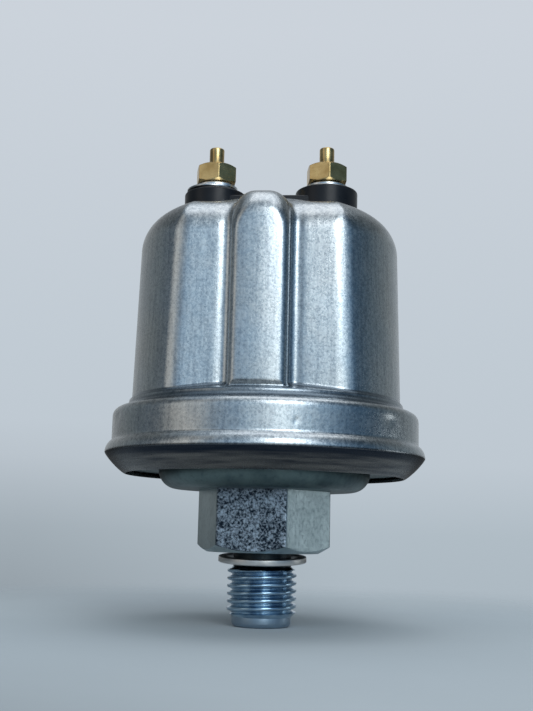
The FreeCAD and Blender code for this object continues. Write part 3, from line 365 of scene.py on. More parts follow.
print("finishes")
finishes = {
    "can": satinAluminium(),
    "zinc": zincPlate("zincPlate", zincFinish["darkTone"], zincFinish["lightTone"]),
    # the base plate's dark zinc tones are partly a painted dark reflection
    "darkZincAndReflection": zincPlate("darkZincAndReflection", zincFinish["reflectionZincDark"], zincFinish["reflectionZincLight"]),
    "bareFaceAndShadeZinc": zincPlate("bareFaceAndShadeZinc", zincFinish["darkTone"], zincFinish["lightTone"], bareFaceAndShade=True),
    "thread": turnedMetal("blueZinc", (0.40, 0.54, 0.66), (0.17, 0.27, 0.38), 0.10, 0.24),
    "ring": turnedMetal("softRing", (0.68, 0.66, 0.64), (0.52, 0.51, 0.50), 0.28, 0.42),
    "brass": turnedMetal("turnedBrass", (0.72, 0.52, 0.24), (0.50, 0.34, 0.14), 0.14, 0.32),
    "steel": turnedMetal("brightSteel", (0.70, 0.71, 0.72), (0.52, 0.54, 0.56), 0.18, 0.34),
    "bronze": turnedMetal("springBronze", (0.66, 0.42, 0.25), (0.52, 0.31, 0.17), 0.25, 0.40),
    "silver": turnedMetal("silverContact", (0.82, 0.81, 0.78), (0.70, 0.69, 0.67), 0.15, 0.28),
    "wire": turnedMetal("resistanceWire", (0.47, 0.42, 0.36), (0.33, 0.29, 0.25), 0.30, 0.45, 2600.0),
    "card": dullSheet("laminatedCard", (0.42, 0.25, 0.12), (0.32, 0.18, 0.08), 0.45, 0.60),
    "phenolic": dullSheet("phenolic", (0.13, 0.10, 0.08), (0.08, 0.06, 0.05), 0.35, 0.50),
    "black": dullSheet("blackMoulding", (0.017, 0.018, 0.022), (0.009, 0.010, 0.013), 0.26, 0.40,
                       grainScale=1300.0, grain=0.15, gloss=0.22),
    "rubber": dullSheet("rubberSheet", (0.030, 0.030, 0.030), (0.018, 0.018, 0.018), 0.60, 0.75),
    "board": dullSheet("gasketBoard", (0.10, 0.095, 0.085), (0.06, 0.058, 0.052), 0.65, 0.80, 900.0, 0.4),
}

nodeFinish = {
    "port_fitting": "zinc", "inlet_restrictor": "brass", "seal_ring": "ring", "base_plate": "zinc",
    "can": "can", "crimp_gasket": "board", "diaphragm": "bronze", "clamp_ring": "zinc",
    "carrier_plate": "zinc", "pressure_plate": "steel", "push_pin": "steel", "guide_bush": "brass",
    "return_spring": "steel", "pivot_bracket": "zinc", "pivot_axle": "steel", "rocker": "zinc",
    "adjusting_screw": "brass", "wiper_strip": "bronze", "wiper_contact": "silver",
    "resistor_card": "card", "resistance_winding": "wire", "card_holder": "phenolic",
    "card_rivets": "brass", "bracket_screws": "steel", "holder_screws": "steel",
    "terminal_plate": "black", "terminal_gasket": "rubber", "lead_strip": "brass",
    "warning_contact_strip": "brass", "stud_left": "brass", "stud_right": "brass",
    "washer_left": "steel", "washer_right": "steel", "lock_washer_left": "steel",
    "lock_washer_right": "steel", "nut_left": "brass", "nut_right": "brass",
}
for nodeName, finishName in nodeFinish.items():
    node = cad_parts[nodeName]
    node.data.materials.clear()
    node.data.materials.append(finishes[finishName])


# Outlines are lists of (radius, height) in millimetres, and a run leaves out its first point

def arcRows(centre, radius, start, end, count):
    angles = [math.radians(start + (end - start) * step / count) for step in range(1, count + 1)]
    return [(centre[0] + radius * math.cos(angle), centre[1] + radius * math.sin(angle))
            for angle in angles]


def lineRows(start, end, count):
    return [(start[0] + (end[0] - start[0]) * step / count, start[1] + (end[1] - start[1]) * step / count)
            for step in range(1, count + 1)]


def spinRows(rows, steps, closed=False):
    shape = bmesh.new()
    layer = shape.verts.layers.int.new("row")
    verts = []
    for index, (radius, height) in enumerate(rows):
        vert = shape.verts.new((radius, 0, height))
        vert[layer] = index
        verts.append(vert)
    edges = [shape.edges.new(pair) for pair in zip(verts, verts[1:])]
    if closed:
        edges.append(shape.edges.new((verts[-1], verts[0])))
    bmesh.ops.spin(shape, geom=verts + edges, cent=(0, 0, 0), axis=(0, 0, 1), dvec=(0, 0, 0),
                   angle=math.tau, steps=steps, use_merge=True, use_duplicate=False)
    bmesh.ops.remove_doubles(shape, verts=shape.verts, dist=1e-5)
    bmesh.ops.recalc_face_normals(shape, faces=shape.faces)
    return shape


# Cuts spun rows down to a hexagon with softened corners; columns crowd towards the corners
def cutHexagon(shape, half, rounding, turn, rows):
    layer = shape.verts.layers.int["row"]
    reach = (half - rounding) / math.cos(math.radians(30))
    bend = math.atan2(rounding / 2, reach + rounding * math.cos(math.radians(30)))
    for vert in shape.verts:
        if vert[layer] not in rows:
            continue
        radius = math.hypot(vert.co.x, vert.co.y)
        sector, share = divmod((math.degrees(math.atan2(vert.co.y, vert.co.x)) - turn) / 60, 1)
        share -= 0.86 * math.sin(math.tau * share) / math.tau
        off = math.radians(60) * min(share, 1 - share)
        limit = half / math.cos(math.radians(30) - off)
        if off < bend:
            limit = reach * math.cos(off) + math.sqrt(rounding ** 2 - (reach * math.sin(off)) ** 2)
        angle = math.radians(turn + 60 * (sector + share))
        radius = min(radius, limit)
        vert.co.x, vert.co.y = radius * math.cos(angle), radius * math.sin(angle)


def addShell(shape, other):
    mesh = bpy.data.meshes.new("shell")
    other.to_mesh(mesh)
    other.free()
    shape.from_mesh(mesh)
    bpy.data.meshes.remove(mesh)


# Makes a bmesh in millimetres a piece in metres that rides on the housing
def finishPiece(shape, name, finish, replaced, sharpAngle=35.0):
    bmesh.ops.scale(shape, vec=(mm, mm, mm), verts=shape.verts)
    mesh = bpy.data.meshes.new(name)
    shape.to_mesh(mesh)
    shape.free()
    for polygon in mesh.polygons:
        polygon.use_smooth = True
    mesh.set_sharp_from_angle(angle=math.radians(sharpAngle))
    mesh.materials.append(finishes[finish])
    piece = bpy.data.objects.new(name, mesh)
    bpy.context.scene.collection.objects.link(piece)
    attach(piece, "housing")
    if replaced:
        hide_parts(*replaced)
    return piece


# Can: spun from its outline, then its upper rows pressed to two flats with a rib between them
can = {
    "lipInner": 28.4, "lipZ": 29.8,
    "rollCentre": (28.7, 33.9), "rollRadius": 4.1,
    "beadTopZ": 36.36, "flankRadius": 2.98,
    "bandRadius": 31.5, "bandTopZ": 41.21, "flangeRounding": 1.75, "flangeZ": 42.96,
    "footRadius": 27.75, "footFillet": 1.8, "topRadius": 27.1, "topZ": 84.01, "rounding": 8.0,
    "flat": 22.0, "ledgeRise": 1.4,
    "ribHalf": 5.6, "ribReach": 27.3, "ribBack": 10.0,
    "ribEdge": 1.6, "ribCrown": 6.5, "ribCorner": 4.3, "ribRoot": 1.2,
    "grooveAt": 7.2, "grooveWidth": 0.8, "grooveDepth": 0.20, "grooveFade": 5.0,
    "creaseRounding": 1.2, "cornerStart": 1.4, "ledgeReach": 0.5, "ledgeRounding": 0.7,
    "rollSharpness": 1.7,
    "wall": 1.0,
    "openingHalf": 12.0, "openingRadius": 6.8,
    "columns": 288, "topRings": 8,
    "rayLength": 14.0, "rayDepth": 9.0, "footRayDepth": 7.0, "slotReach": 25.0,
    "dents": [  # angle from the front, height, spread and depth
        (-62.0, 40.6, 0.9, 0.22), (52.0, 39.8, 1.0, 0.25),
        (14.0, 38.4, 0.5, 0.10), (-38.0, 42.0, 0.6, 0.12),
    ],
}

# Share of the way round from the rib to the back, and the angle where that column stands
columnKnots = (
    [0, 0.085, 0.145, 0.245, 0.345, 0.46, 0.53, 1.0],
    [0, 9.2, 11.9, 14.0, 20.0, 35.0, 43.0, 180.0],
)


# Distance to an edge of that rounding, from the distances past its two sides
def roundedEdge(across, up, radius):
    a = across + radius
    b = up + radius
    return np.hypot(np.maximum(a, 0), np.maximum(b, 0)) + np.minimum(np.maximum(a, b), 0) - radius


# Two forms made one, with a fillet of that radius between them
def joinRound(a, b, radius):
    corner = np.hypot(np.maximum(radius - a, 0), np.maximum(radius - b, 0))
    return np.maximum(radius, np.minimum(a, b)) - corner


# What two forms share, with their common edge softened
def cutRound(a, b, radius):
    corner = np.hypot(np.maximum(radius + a, 0), np.maximum(radius + b, 0))
    return np.minimum(-radius, np.maximum(a, b)) + corner


# Distance to the can's outer face above its flange, negative inside
def canDistance(x, y, z):
    r = np.hypot(x, y)
    ledgeZ = can["flangeZ"] + can["footFillet"]
    share = (z - ledgeZ) / (can["topZ"] - can["rounding"] - ledgeZ)
    side = can["footRadius"] + (can["topRadius"] - can["footRadius"]) * np.clip(share, 0, 1)
    wall = cutRound(r - side, -y - can["flat"], can["creaseRounding"])
    drum = roundedEdge(wall, z - can["topZ"], can["rounding"])
    across = np.abs(x) - can["ribHalf"]
    front = np.where(y < 0, r, -y) - can["ribReach"]
    crown = roundedEdge(front, z - can["topZ"], can["ribCrown"])
    share = np.clip((z - can["topZ"]) / can["ribCrown"] + can["cornerStart"], 0, 1)
    edge = can["ribEdge"] + (can["ribCorner"] - can["ribEdge"]) * share * share * (3 - 2 * share)
    rib = np.maximum.reduce([
        roundedEdge(across, crown, edge),
        roundedEdge(front, ledgeZ - z, can["ribEdge"]),
        y + can["ribBack"],
    ])
    upper = np.maximum(joinRound(drum, rib, can["ribRoot"]), z - can["topZ"])
    groove = can["grooveDepth"] * np.exp(-((np.abs(x) - can["grooveAt"]) / can["grooveWidth"]) ** 2)
    groove = groove * np.clip((can["topZ"] - z) / can["grooveFade"], 0, 1)
    upper = upper + np.where(y < -can["ribBack"], groove, 0)
    ledge = z - ledgeZ - (can["footRadius"] - r) * can["ledgeRise"] / (can["footRadius"] - can["flat"])
    ledge = np.maximum(ledge, r - can["footRadius"] - can["ledgeReach"])
    return joinRound(joinRound(upper, ledge, can["ledgeRounding"]), z - can["flangeZ"], can["footFillet"])


def canRows():
    rollR, rollZ = can["rollCentre"]
    rows = [(can["lipInner"], can["lipZ"] + 0.6), (can["lipInner"], can["lipZ"]), (rollR, can["lipZ"])]
    for step in range(1, 21):  # rolled edge, nearly a cone
        angle = math.radians(90 * step / 20)
        rows.append((rollR + can["rollRadius"] * math.sin(angle) ** can["rollSharpness"],
                     rollZ - can["rollRadius"] * math.cos(angle) ** can["rollSharpness"]))
    flankCentre = (rollR + can["rollRadius"] - can["flankRadius"], rollZ)
    flankEnd = math.degrees(math.asin((can["beadTopZ"] - flankCentre[1]) / can["flankRadius"]))
    rows += arcRows(flankCentre, can["flankRadius"], 0, flankEnd, 8)
    rows += lineRows((can["bandRadius"], can["beadTopZ"]), (can["bandRadius"], can["bandTopZ"]), 10)
    turnCentre = (can["bandRadius"] - can["flangeRounding"], can["bandTopZ"])
    rows += arcRows(turnCentre, can["flangeRounding"], 0, 90, 8)
    flangeEnd = len(rows)
    footCentre = (can["footRadius"] + can["footFillet"], can["flangeZ"] + can["footFillet"])
    rows += arcRows(footCentre, can["footFillet"], -90, -180, 10)
    rows += lineRows((can["footRadius"], footCentre[1]), (can["footRadius"], footCentre[1] + 3.0), 14)
    shoulder = (can["topRadius"] - can["rounding"], can["topZ"] - can["rounding"])
    rows += lineRows((can["footRadius"], footCentre[1] + 3.0), (can["topRadius"], shoulder[1]), 26)
    shoulderStart = len(rows)
    rows += arcRows(shoulder, can["rounding"], 0, 90, 36)
    topStart = len(rows)
    rows += lineRows((shoulder[0], can["topZ"]), (can["openingRadius"], can["topZ"]), can["topRings"])
    return rows, flangeEnd, shoulderStart, topStart


# The last place along each ray, by halving, that still lies within the test
def lastWithin(count, reach, within, halvings=36):
    near = np.zeros(count)
    far = np.full(count, reach)
    for halving in range(halvings):
        middle = (near + far) / 2
        inside = within(middle)
        near = np.where(inside, middle, near)
        far = np.where(inside, far, middle)
    return near


def makeCan():
    rows, flangeEnd, shoulderStart, topStart = canRows()
    shape = spinRows(rows, can["columns"])
    layer = shape.verts.layers.int["row"]
    verts = list(shape.verts)
    place = np.array([vert.co for vert in verts])
    row = np.array([vert[layer] for vert in verts])
    angle = np.arctan2(place[:, 0], -place[:, 1])
    angle = np.radians(np.interp(np.abs(angle) / math.pi, *columnKnots)) * np.sign(angle)
    radius, level = np.hypot(place[:, 0], place[:, 1]), place[:, 2]
    out = np.stack([np.sin(angle), -np.cos(angle)], axis=1)

    # Each ray starts inside the can, runs square to the plain outline and stops at the pressed form
    slope = np.gradient(np.array(rows), axis=0)
    slope /= np.linalg.norm(slope, axis=1)[:, None]
    normal = np.stack([slope[:, 1], -slope[:, 0]], axis=1)[row]
    ledgeZ = can["flangeZ"] + can["footFillet"] + 1e-6
    depth = np.where(level < ledgeZ, can["footRayDepth"], can["rayDepth"])
    depth = np.where(row >= shoulderStart, can["rounding"], depth)
    startR, startZ = radius - normal[:, 0] * depth, level - normal[:, 1] * depth

    def insideForm(run):
        r, z = startR + normal[:, 0] * run, startZ + normal[:, 1] * run
        return canDistance(out[:, 0] * r, out[:, 1] * r, z) < 0

    run = lastWithin(len(verts), can["rayLength"], insideForm)
    pressed = (row >= flangeEnd) & (row < topStart)
    endR = np.where(pressed, startR + normal[:, 0] * run, radius)
    endZ = np.where(pressed, startZ + normal[:, 1] * run, level)

    # The top closes on the slot that the terminals come through
    def insideSlot(run):
        beyond = np.maximum(np.abs(out[:, 0] * run) - can["openingHalf"], 0)
        return np.hypot(beyond, out[:, 1] * run) < can["openingRadius"]

    slotEdge = lastWithin(len(verts), can["slotReach"], insideSlot)
    rim = row == topStart - 1
    column = np.round(np.arctan2(place[:, 1], place[:, 0]) / math.tau * can["columns"]).astype(int)
    outerEdge = np.zeros(can["columns"])
    outerEdge[column[rim]] = endR[rim]
    share = (row - topStart + 1) / can["topRings"]
    topR = outerEdge[column] + (slotEdge - outerEdge[column]) * share
    endR = np.where(row >= topStart, topR, endR)
    for vert, direction, r, z in zip(verts, out, endR, endZ):
        vert.co = (direction[0] * r, direction[1] * r, z)

    # Small knocks in the band
    for turn, height, spread, deep in can["dents"]:
        turned = math.radians(turn)
        centre = Vector((math.sin(turned), -math.cos(turned), 0)) * can["bandRadius"]
        centre.z = height
        for vert in verts:
            near = (vert.co - centre).length / spread
            if near < 2.5:
                vert.co -= centre.xy.normalized().to_3d() * deep * math.exp(-near * near)
    bmesh.ops.recalc_face_normals(shape, faces=shape.faces)
    piece = finishPiece(shape, "drawnCan", "can", ["can"], 60.0)
    wall = piece.modifiers.new("wall", "SOLIDIFY")
    wall.thickness = can["wall"] * mm
    wall.offset = -1.0


print("can")
makeCan()

# Port: one turned body with its hexagon, and the thread as a shell of its own
port = {
    "bore": 1.95, "jet": 0.975, "jetZ": 11.0,
    "nose": 5.95, "noseRounding": 0.9, "core": 5.9, "undercut": 5.85, "threadTop": 11.9,
    "noseTop": 1.9, "coreLow": 2.3,
    "shoulder": 14.6, "face": 11.4, "half": 12.0, "corner": 13.857, "cornerRounding": 0.55,
    "hexTop": 27.0, "turn": -7.5,
    "spigot": 6.0, "floor": 28.5, "swage": 7.3, "swageTop": 29.5,
    "columns": 144,
}
thread = {
    "root": 6.08, "crest": 7.0, "pitch": 1.5, "flank": 0.42, "crestLand": 0.44,
    "low": 2.0, "high": 11.9, "crestZ": 3.8, "inner": 5.0,
    "stepsPerTurn": 96, "turns": 9, "runOut": 1.5,
}


def makePort():
    chamferTop = port["shoulder"] + (port["corner"] - port["face"]) * math.tan(math.radians(30))
    rounding = port["noseRounding"]
    rows = [(port["bore"], port["jetZ"]), (port["bore"], 0.0), (port["nose"] - rounding, 0.0)]
    rows += arcRows((port["nose"] - rounding, rounding), rounding, -90, 0, 8)
    rows += [(port["nose"], port["noseTop"]), (port["core"], port["coreLow"])]
    rows += [(port["core"], port["threadTop"] - 0.3)]
    rows += [(port["undercut"], port["threadTop"]), (port["undercut"], port["shoulder"])]
    hexStart = len(rows)
    rows += [(port["face"], port["shoulder"])]
    rows += lineRows((port["face"], port["shoulder"]), (port["corner"], chamferTop), 14)
    rows += lineRows((port["corner"], chamferTop), (port["corner"], port["hexTop"]), 4)
    hexRows = range(hexStart, len(rows))
    rows += [(port["spigot"], port["hexTop"]), (port["spigot"], port["floor"])]
    rows += [(port["swage"], port["floor"]), (port["swage"], port["floor"] + 0.5)]
    rows += [(port["spigot"], port["swageTop"])]
    rows += [(port["jet"], port["swageTop"]), (port["jet"], port["jetZ"])]
    shape = spinRows(rows, port["columns"], closed=True)
    cutHexagon(shape, port["half"], port["cornerRounding"], port["turn"], hexRows)
    finishPiece(shape, "portBody", "bareFaceAndShadeZinc", ["port_fitting"], 24.0)


def makeThread():
    half = thread["crestLand"] / 2
    crest, root = thread["crest"], thread["root"]
    foot = half + thread["flank"]
    flank = [(crest, half * 0.5), (crest - 0.03, half), (crest - 0.10, half + 0.08),
             (crest - 0.24, half + 0.16), (root + 0.22, foot - 0.12), (root + 0.06, foot - 0.02),
             (root, foot + 0.08)]
    profile = [(root, -thread["pitch"] / 2)] + [(radius, -height) for radius, height in reversed(flank)]
    profile += flank + [(root, thread["pitch"] / 2)]
    start = thread["crestZ"] - 3 * thread["pitch"]
    shape = bmesh.new()
    verts = [shape.verts.new((0, -radius, start + height)) for radius, height in profile]
    edges = [shape.edges.new(pair) for pair in zip(verts, verts[1:])]
    bmesh.ops.spin(shape, geom=verts + edges, cent=(0, 0, 0), axis=(0, 0, 1),
                   angle=math.tau * thread["turns"], dvec=(0, 0, thread["pitch"] / thread["stepsPerTurn"]),
                   steps=thread["stepsPerTurn"] * thread["turns"], use_merge=False, use_duplicate=False)
    bmesh.ops.remove_doubles(shape, verts=shape.verts, dist=1e-4)
    for level, upwards in ((thread["low"], False), (thread["high"], True)):
        bmesh.ops.bisect_plane(shape, geom=shape.verts[:] + shape.edges[:] + shape.faces[:], dist=1e-6,
                               plane_co=(0, 0, level), plane_no=(0, 0, 1), clear_outer=upwards,
                               clear_inner=not upwards)
    for vert in shape.verts:  # cone at each end
        radius = vert.co.xy.length
        lower = port["nose"] + vert.co.z - port["noseTop"]
        upper = port["core"] + (thread["high"] - vert.co.z) * thread["runOut"]
        vert.co.xy *= min(radius, lower, upper) / radius
    rims = [edge for edge in shape.edges if edge.is_boundary]
    grown = bmesh.ops.extrude_edge_only(shape, edges=rims)["geom"]
    for vert in [item for item in grown if isinstance(item, bmesh.types.BMVert)]:
        vert.co.xy *= thread["inner"] / vert.co.xy.length
    bmesh.ops.bridge_loops(shape, edges=[edge for edge in shape.edges if edge.is_boundary])
    bmesh.ops.recalc_face_normals(shape, faces=shape.faces)
    finishPiece(shape, "portThread", "thread", [], 40.0)


print("port")
makePort()
makeThread()

# Base plate: flat centre, quarter round, and the rim that the can is rolled under
basePlate = {
    "bore": 6.0, "low": 27.0, "knee": 17.9, "dish": 3.8, "wall": 1.5,
    "rim": 30.1, "rimRounding": 1.4, "columns": 160,
}


def makeBasePlate():
    size = basePlate
    low, knee, rounding = size["low"], size["knee"], size["rimRounding"]
    rimZ = low + size["dish"]
    rows = [(size["bore"], low)] + lineRows((size["bore"], low), (knee, low), 4)
    rows += arcRows((knee, rimZ), size["dish"], -90, 0, 12)
    rows += [(size["rim"] - rounding, rimZ)]
    rows += arcRows((size["rim"] - rounding, rimZ + rounding), rounding, -90, 0, 6)
    inner = size["dish"] - size["wall"]
    rows += [(size["rim"], rimZ + size["wall"]), (knee + inner, rimZ + size["wall"]), (knee + inner, rimZ)]
    rows += arcRows((knee, rimZ), inner, 0, -90, 8)
    rows += [(size["bore"], low + size["wall"])]
    shape = spinRows(rows, size["columns"], closed=True)
    finishPiece(shape, "basePlate", "darkZincAndReflection", ["base_plate"], 40.0)


print("base plate")
makeBasePlate()

# Seal ring, hanging askew under the hexagon with its far edge up
sealRing = {
    "inner": 7.25, "outer": 8.95, "thick": 1.2, "edge": 0.22,
    "tilt": 4.0, "shoulder": 14.6, "gap": 0.05,
}


def makeSealRing():
    size = sealRing
    inner, outer, edge = size["inner"], size["outer"], size["edge"]
    rows = [(inner + edge, 0.0), (outer - edge, 0.0)]
    rows += arcRows((outer - edge, -edge), edge, 90, 0, 5)
    rows += [(outer, edge - size["thick"])] + arcRows((outer - edge, edge - size["thick"]), edge, 0, -90, 5)
    rows += [(inner + edge, -size["thick"])]
    rows += arcRows((inner + edge, edge - size["thick"]), edge, 270, 180, 5)
    rows += [(inner, -edge)] + arcRows((inner + edge, -edge), edge, 180, 90, 5)[:-1]
    shape = spinRows(rows, 128, closed=True)
    tilt = math.radians(size["tilt"])
    bmesh.ops.rotate(shape, cent=(0, 0, 0), matrix=Matrix.Rotation(tilt, 3, "X"), verts=shape.verts)
    lift = size["shoulder"] - size["gap"] - outer * math.sin(tilt)
    bmesh.ops.translate(shape, vec=(0, 0, lift), verts=shape.verts)
    finishPiece(shape, "sealRing", "ring", ["seal_ring"], 40.0)


print("seal ring")
makeSealRing()

# Terminal moulding: disc inside the can, web through the slot and a boss round each stud
moulding = {
    "disc": 21.6, "discFlat": 16.5, "discLow": 80.35, "discTop": 82.36, "discEdge": 0.3,
    "side": 12.0, "boss": 6.65, "bore": 2.55, "edge": 0.45, "overlap": 0.01,
    "leftTop": 90.3, "padRadius": 5.6, "rightTop": 90.9,
    "webHalf": 5.5, "webTop": 88.81,
}


def bossShell(side, steps):
    low = moulding["discLow"] + moulding["overlap"]
    rows = [(moulding["bore"], low), (moulding["boss"] - 0.1, low)]
    for radius, top in steps:
        rows += [(radius, top - moulding["edge"])]
        rows += arcRows((radius - moulding["edge"], top - moulding["edge"]), moulding["edge"], 0, 90, 6)
    rows += [(moulding["bore"] + 0.3, steps[-1][1]), (moulding["bore"], steps[-1][1] - 0.3)]
    shape = spinRows(rows, 96, closed=True)
    bmesh.ops.translate(shape, vec=(side, 0, 0), verts=shape.verts)
    return shape


def makeMoulding():
    size = moulding
    leftSteps = [(size["boss"], size["leftTop"]), (size["padRadius"], size["rightTop"])]
    shape = bossShell(-size["side"], leftSteps)
    addShell(shape, bossShell(size["side"], [(size["boss"], size["rightTop"])]))

    web = bmesh.new()
    bmesh.ops.create_cube(web, size=1.0)
    deep = size["webTop"] - size["discLow"] - size["overlap"] * 2
    bmesh.ops.scale(web, vec=(size["side"] * 2 - 7.0, size["webHalf"] * 2, deep), verts=web.verts)
    bmesh.ops.translate(web, vec=(0, 0, size["discLow"] + size["overlap"] + deep / 2), verts=web.verts)
    along = [edge for edge in web.edges if all(vert.co.z > size["discTop"] for vert in edge.verts)
             and abs(edge.verts[0].co.y - edge.verts[1].co.y) < 1e-4]
    bmesh.ops.bevel(web, geom=along, offset=size["edge"], segments=5, profile=0.5, affect="EDGES",
                    material=-1)
    addShell(shape, web)

    radius, low, top, edge = size["disc"], size["discLow"], size["discTop"], size["discEdge"]
    disc = spinRows([(0.0, low), (radius - edge, low), (radius, low + edge), (radius, top - edge),
                     (radius - edge, top), (0.0, top)], 128)
    cut = bmesh.ops.bisect_plane(disc, geom=disc.verts[:] + disc.edges[:] + disc.faces[:], dist=1e-6,
                                 plane_co=(0, -size["discFlat"], 0), plane_no=(0, -1, 0), clear_outer=True)
    rim = [item for item in cut["geom_cut"] if isinstance(item, bmesh.types.BMEdge)]
    bmesh.ops.contextual_create(disc, geom=rim)
    bmesh.ops.recalc_face_normals(disc, faces=disc.faces)
    addShell(shape, disc)
    finishPiece(shape, "terminalMoulding", "black", ["terminal_plate"], 35.0)


print("terminal moulding")
makeMoulding()

# Terminals: stud, flat washer, domed lock washer and nut on each side
terminal = {
    "side": 12.0,
    "stud": 2.5, "headRadius": 3.8, "headLow": 78.35, "headTop": 79.85, "headEdge": 0.3,
    "tip": 1.6, "tipChamfer": 0.35,
    "tipTop": 100.91,
    "washer": 5.3, "washerLow": 90.9, "washerTop": 91.4, "washerBore": 3.45, "washerEdge": 0.12,
    "washerShift": {"left": -0.9, "right": 0.0},
    "dome": 4.7, "domeBore": 2.65, "domeThick": 0.5, "domeRise": 0.8,
    "nutHalf": 4.0, "nutFace": 3.8, "nutLow": 92.71, "nutTop": 96.71, "nutRounding": 0.2,
    "turns": {"left": -16.4, "right": -20.9},
}


def makeStud(side, place):
    size = terminal
    chamfer = size["tipChamfer"]
    head, low, edge = size["headRadius"], size["headLow"], size["headEdge"]
    rows = [(0.0, low), (head - edge, low), (head, low + edge), (head, size["headTop"])]
    rows += [(size["stud"], size["headTop"])]
    rows += lineRows((size["stud"], size["headTop"]), (size["stud"], size["nutTop"] - chamfer), 6)
    for groove in range(2):  # the thread's last turns, run out below the plain tip
        foot = size["nutTop"] - chamfer - 0.1 + groove * 0.22
        rows += [(size["stud"] - 0.14 - groove * 0.25, foot + 0.10)]
        rows += [(size["stud"] - 0.04 - groove * 0.3, foot + 0.2)]
    rows += [(size["tip"] + 0.1, size["nutTop"] + chamfer), (size["tip"], size["nutTop"] + chamfer + 0.15)]
    rows += [(size["tip"], size["tipTop"] - chamfer)]
    rows += arcRows((size["tip"] - chamfer, size["tipTop"] - chamfer), chamfer, 0, 90, 5)
    rows += [(0.0, size["tipTop"])]
    shape = spinRows(rows, 72)
    bmesh.ops.translate(shape, vec=(place, 0, 0), verts=shape.verts)
    finishPiece(shape, f"stud_{side}_turned", "brass", [f"stud_{side}"], 40.0)


def makeWashers(side, place):
    size = terminal
    bore, low, top = size["washerBore"], size["washerLow"], size["washerTop"]
    radius, edge = size["washer"], size["washerEdge"]
    rows = [(bore, low), (radius - edge, low), (radius, low + edge), (radius, top - edge),
            (radius - edge, top), (bore, top)]
    shape = spinRows(rows, 72, closed=True)
    bmesh.ops.translate(shape, vec=(place + size["washerShift"][side], 0, 0), verts=shape.verts)
    finishPiece(shape, f"washer_{side}_flat", "steel", [f"washer_{side}"], 50.0)

    bore = size["domeBore"]
    dome = []
    for step in range(11):
        drop = math.cos(math.radians(90 * max(step - 2, 0) / 8))
        dome.append((bore + (size["dome"] - bore) * step / 10, top + size["domeRise"] * drop))
    rows = dome + [(radius, height + size["domeThick"]) for radius, height in reversed(dome)]
    shape = spinRows(rows, 72, closed=True)
    bmesh.ops.translate(shape, vec=(place, 0, 0), verts=shape.verts)
    finishPiece(shape, f"lock_washer_{side}_domed", "steel", [f"lock_washer_{side}"], 50.0)


def makeNut(side, place):
    size = terminal
    corner = size["nutHalf"] / math.cos(math.radians(30))
    drop = (corner - size["nutFace"]) * math.tan(math.radians(30))
    low, top = size["nutLow"], size["nutTop"]
    rows = [(size["nutFace"], low)] + lineRows((size["nutFace"], low), (corner, low + drop), 6)
    rows += lineRows((corner, low + drop), (corner, top - drop), 3)
    rows += lineRows((corner, top - drop), (size["nutFace"], top), 6)
    hexRows = range(len(rows))
    bore, sink = size["stud"] + 0.01, 0.35
    rows += [(size["stud"] + sink, top), (bore, top - sink), (bore, low + sink), (size["stud"] + sink, low)]
    shape = spinRows(rows, 144, closed=True)
    cutHexagon(shape, size["nutHalf"], size["nutRounding"], 0.0, hexRows)
    turn = Matrix.Rotation(math.radians(size["turns"][side]), 3, "Z")
    bmesh.ops.rotate(shape, cent=(0, 0, 0), matrix=turn, verts=shape.verts)
    bmesh.ops.translate(shape, vec=(place, 0, 0), verts=shape.verts)
    finishPiece(shape, f"nut_{side}_hexagon", "brass", [f"nut_{side}"], 24.0)


print("terminals")
for sideName, sign in (("left", -1), ("right", 1)):
    makeStud(sideName, terminal["side"] * sign)
    makeWashers(sideName, terminal["side"] * sign)
    makeNut(sideName, terminal["side"] * sign)


# Return spring: its own solid again, left apart from the housing body; the real spring shortens when the
# pusher rises
def makeSpring():
    shape = bmesh.new()
    shape.from_mesh(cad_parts["return_spring"].data)
    bmesh.ops.remove_doubles(shape, verts=shape.verts, dist=1e-7)
    mesh = bpy.data.meshes.new("coiledSpring")
    shape.to_mesh(mesh)
    shape.free()
    for polygon in mesh.polygons:
        polygon.use_smooth = True
    mesh.materials.append(finishes["steel"])
    piece = bpy.data.objects.new("coiledSpring", mesh)
    bpy.context.scene.collection.objects.link(piece)
    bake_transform(piece)
    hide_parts("return_spring")


print("spring")
makeSpring()

# Studio: pale seamless floor, and a room whose soft panels stand in a ring round the object
studio = {
    "camera": (0.01482, -0.20818, 0.01922),
    "azimuth": 4.11,
    "tilt": 9.805,
    "roll": 1.348,
    "lens": 50.95,
    "floor": (0.545, 0.595, 0.625),
    "floorFades": (0.045, 0.17),
    "backdropSpan": (-0.25, 0.50),
    "backdrop": [(0.09, (0.38, 0.445, 0.50)), (0.33, (0.434, 0.503, 0.558)), (0.42, (0.515, 0.578, 0.638)),
                 (0.56, (0.533, 0.597, 0.658)), (0.95, (0.60, 0.65, 0.71))],
    # Painted shadow: how dark the backdrop is made at the lower left
    "shade": 0.64,
    "shadeAcross": (0.02, -0.30),
    "shadeUp": (0.10, -0.12),
    "floorSize": 3.0,
    "floorGrain": 40.0,
    "ceilingSpan": (0.76, 0.86),
    "ceiling": (0.46, 0.53, 0.59),
    "wallSpan": (-0.20, 1.00),
    "wall": [(0.14, 0.16), (0.21, 1.0), (0.50, 1.0), (0.60, 0.62), (0.80, 0.62), (0.88, 0.9)],
}
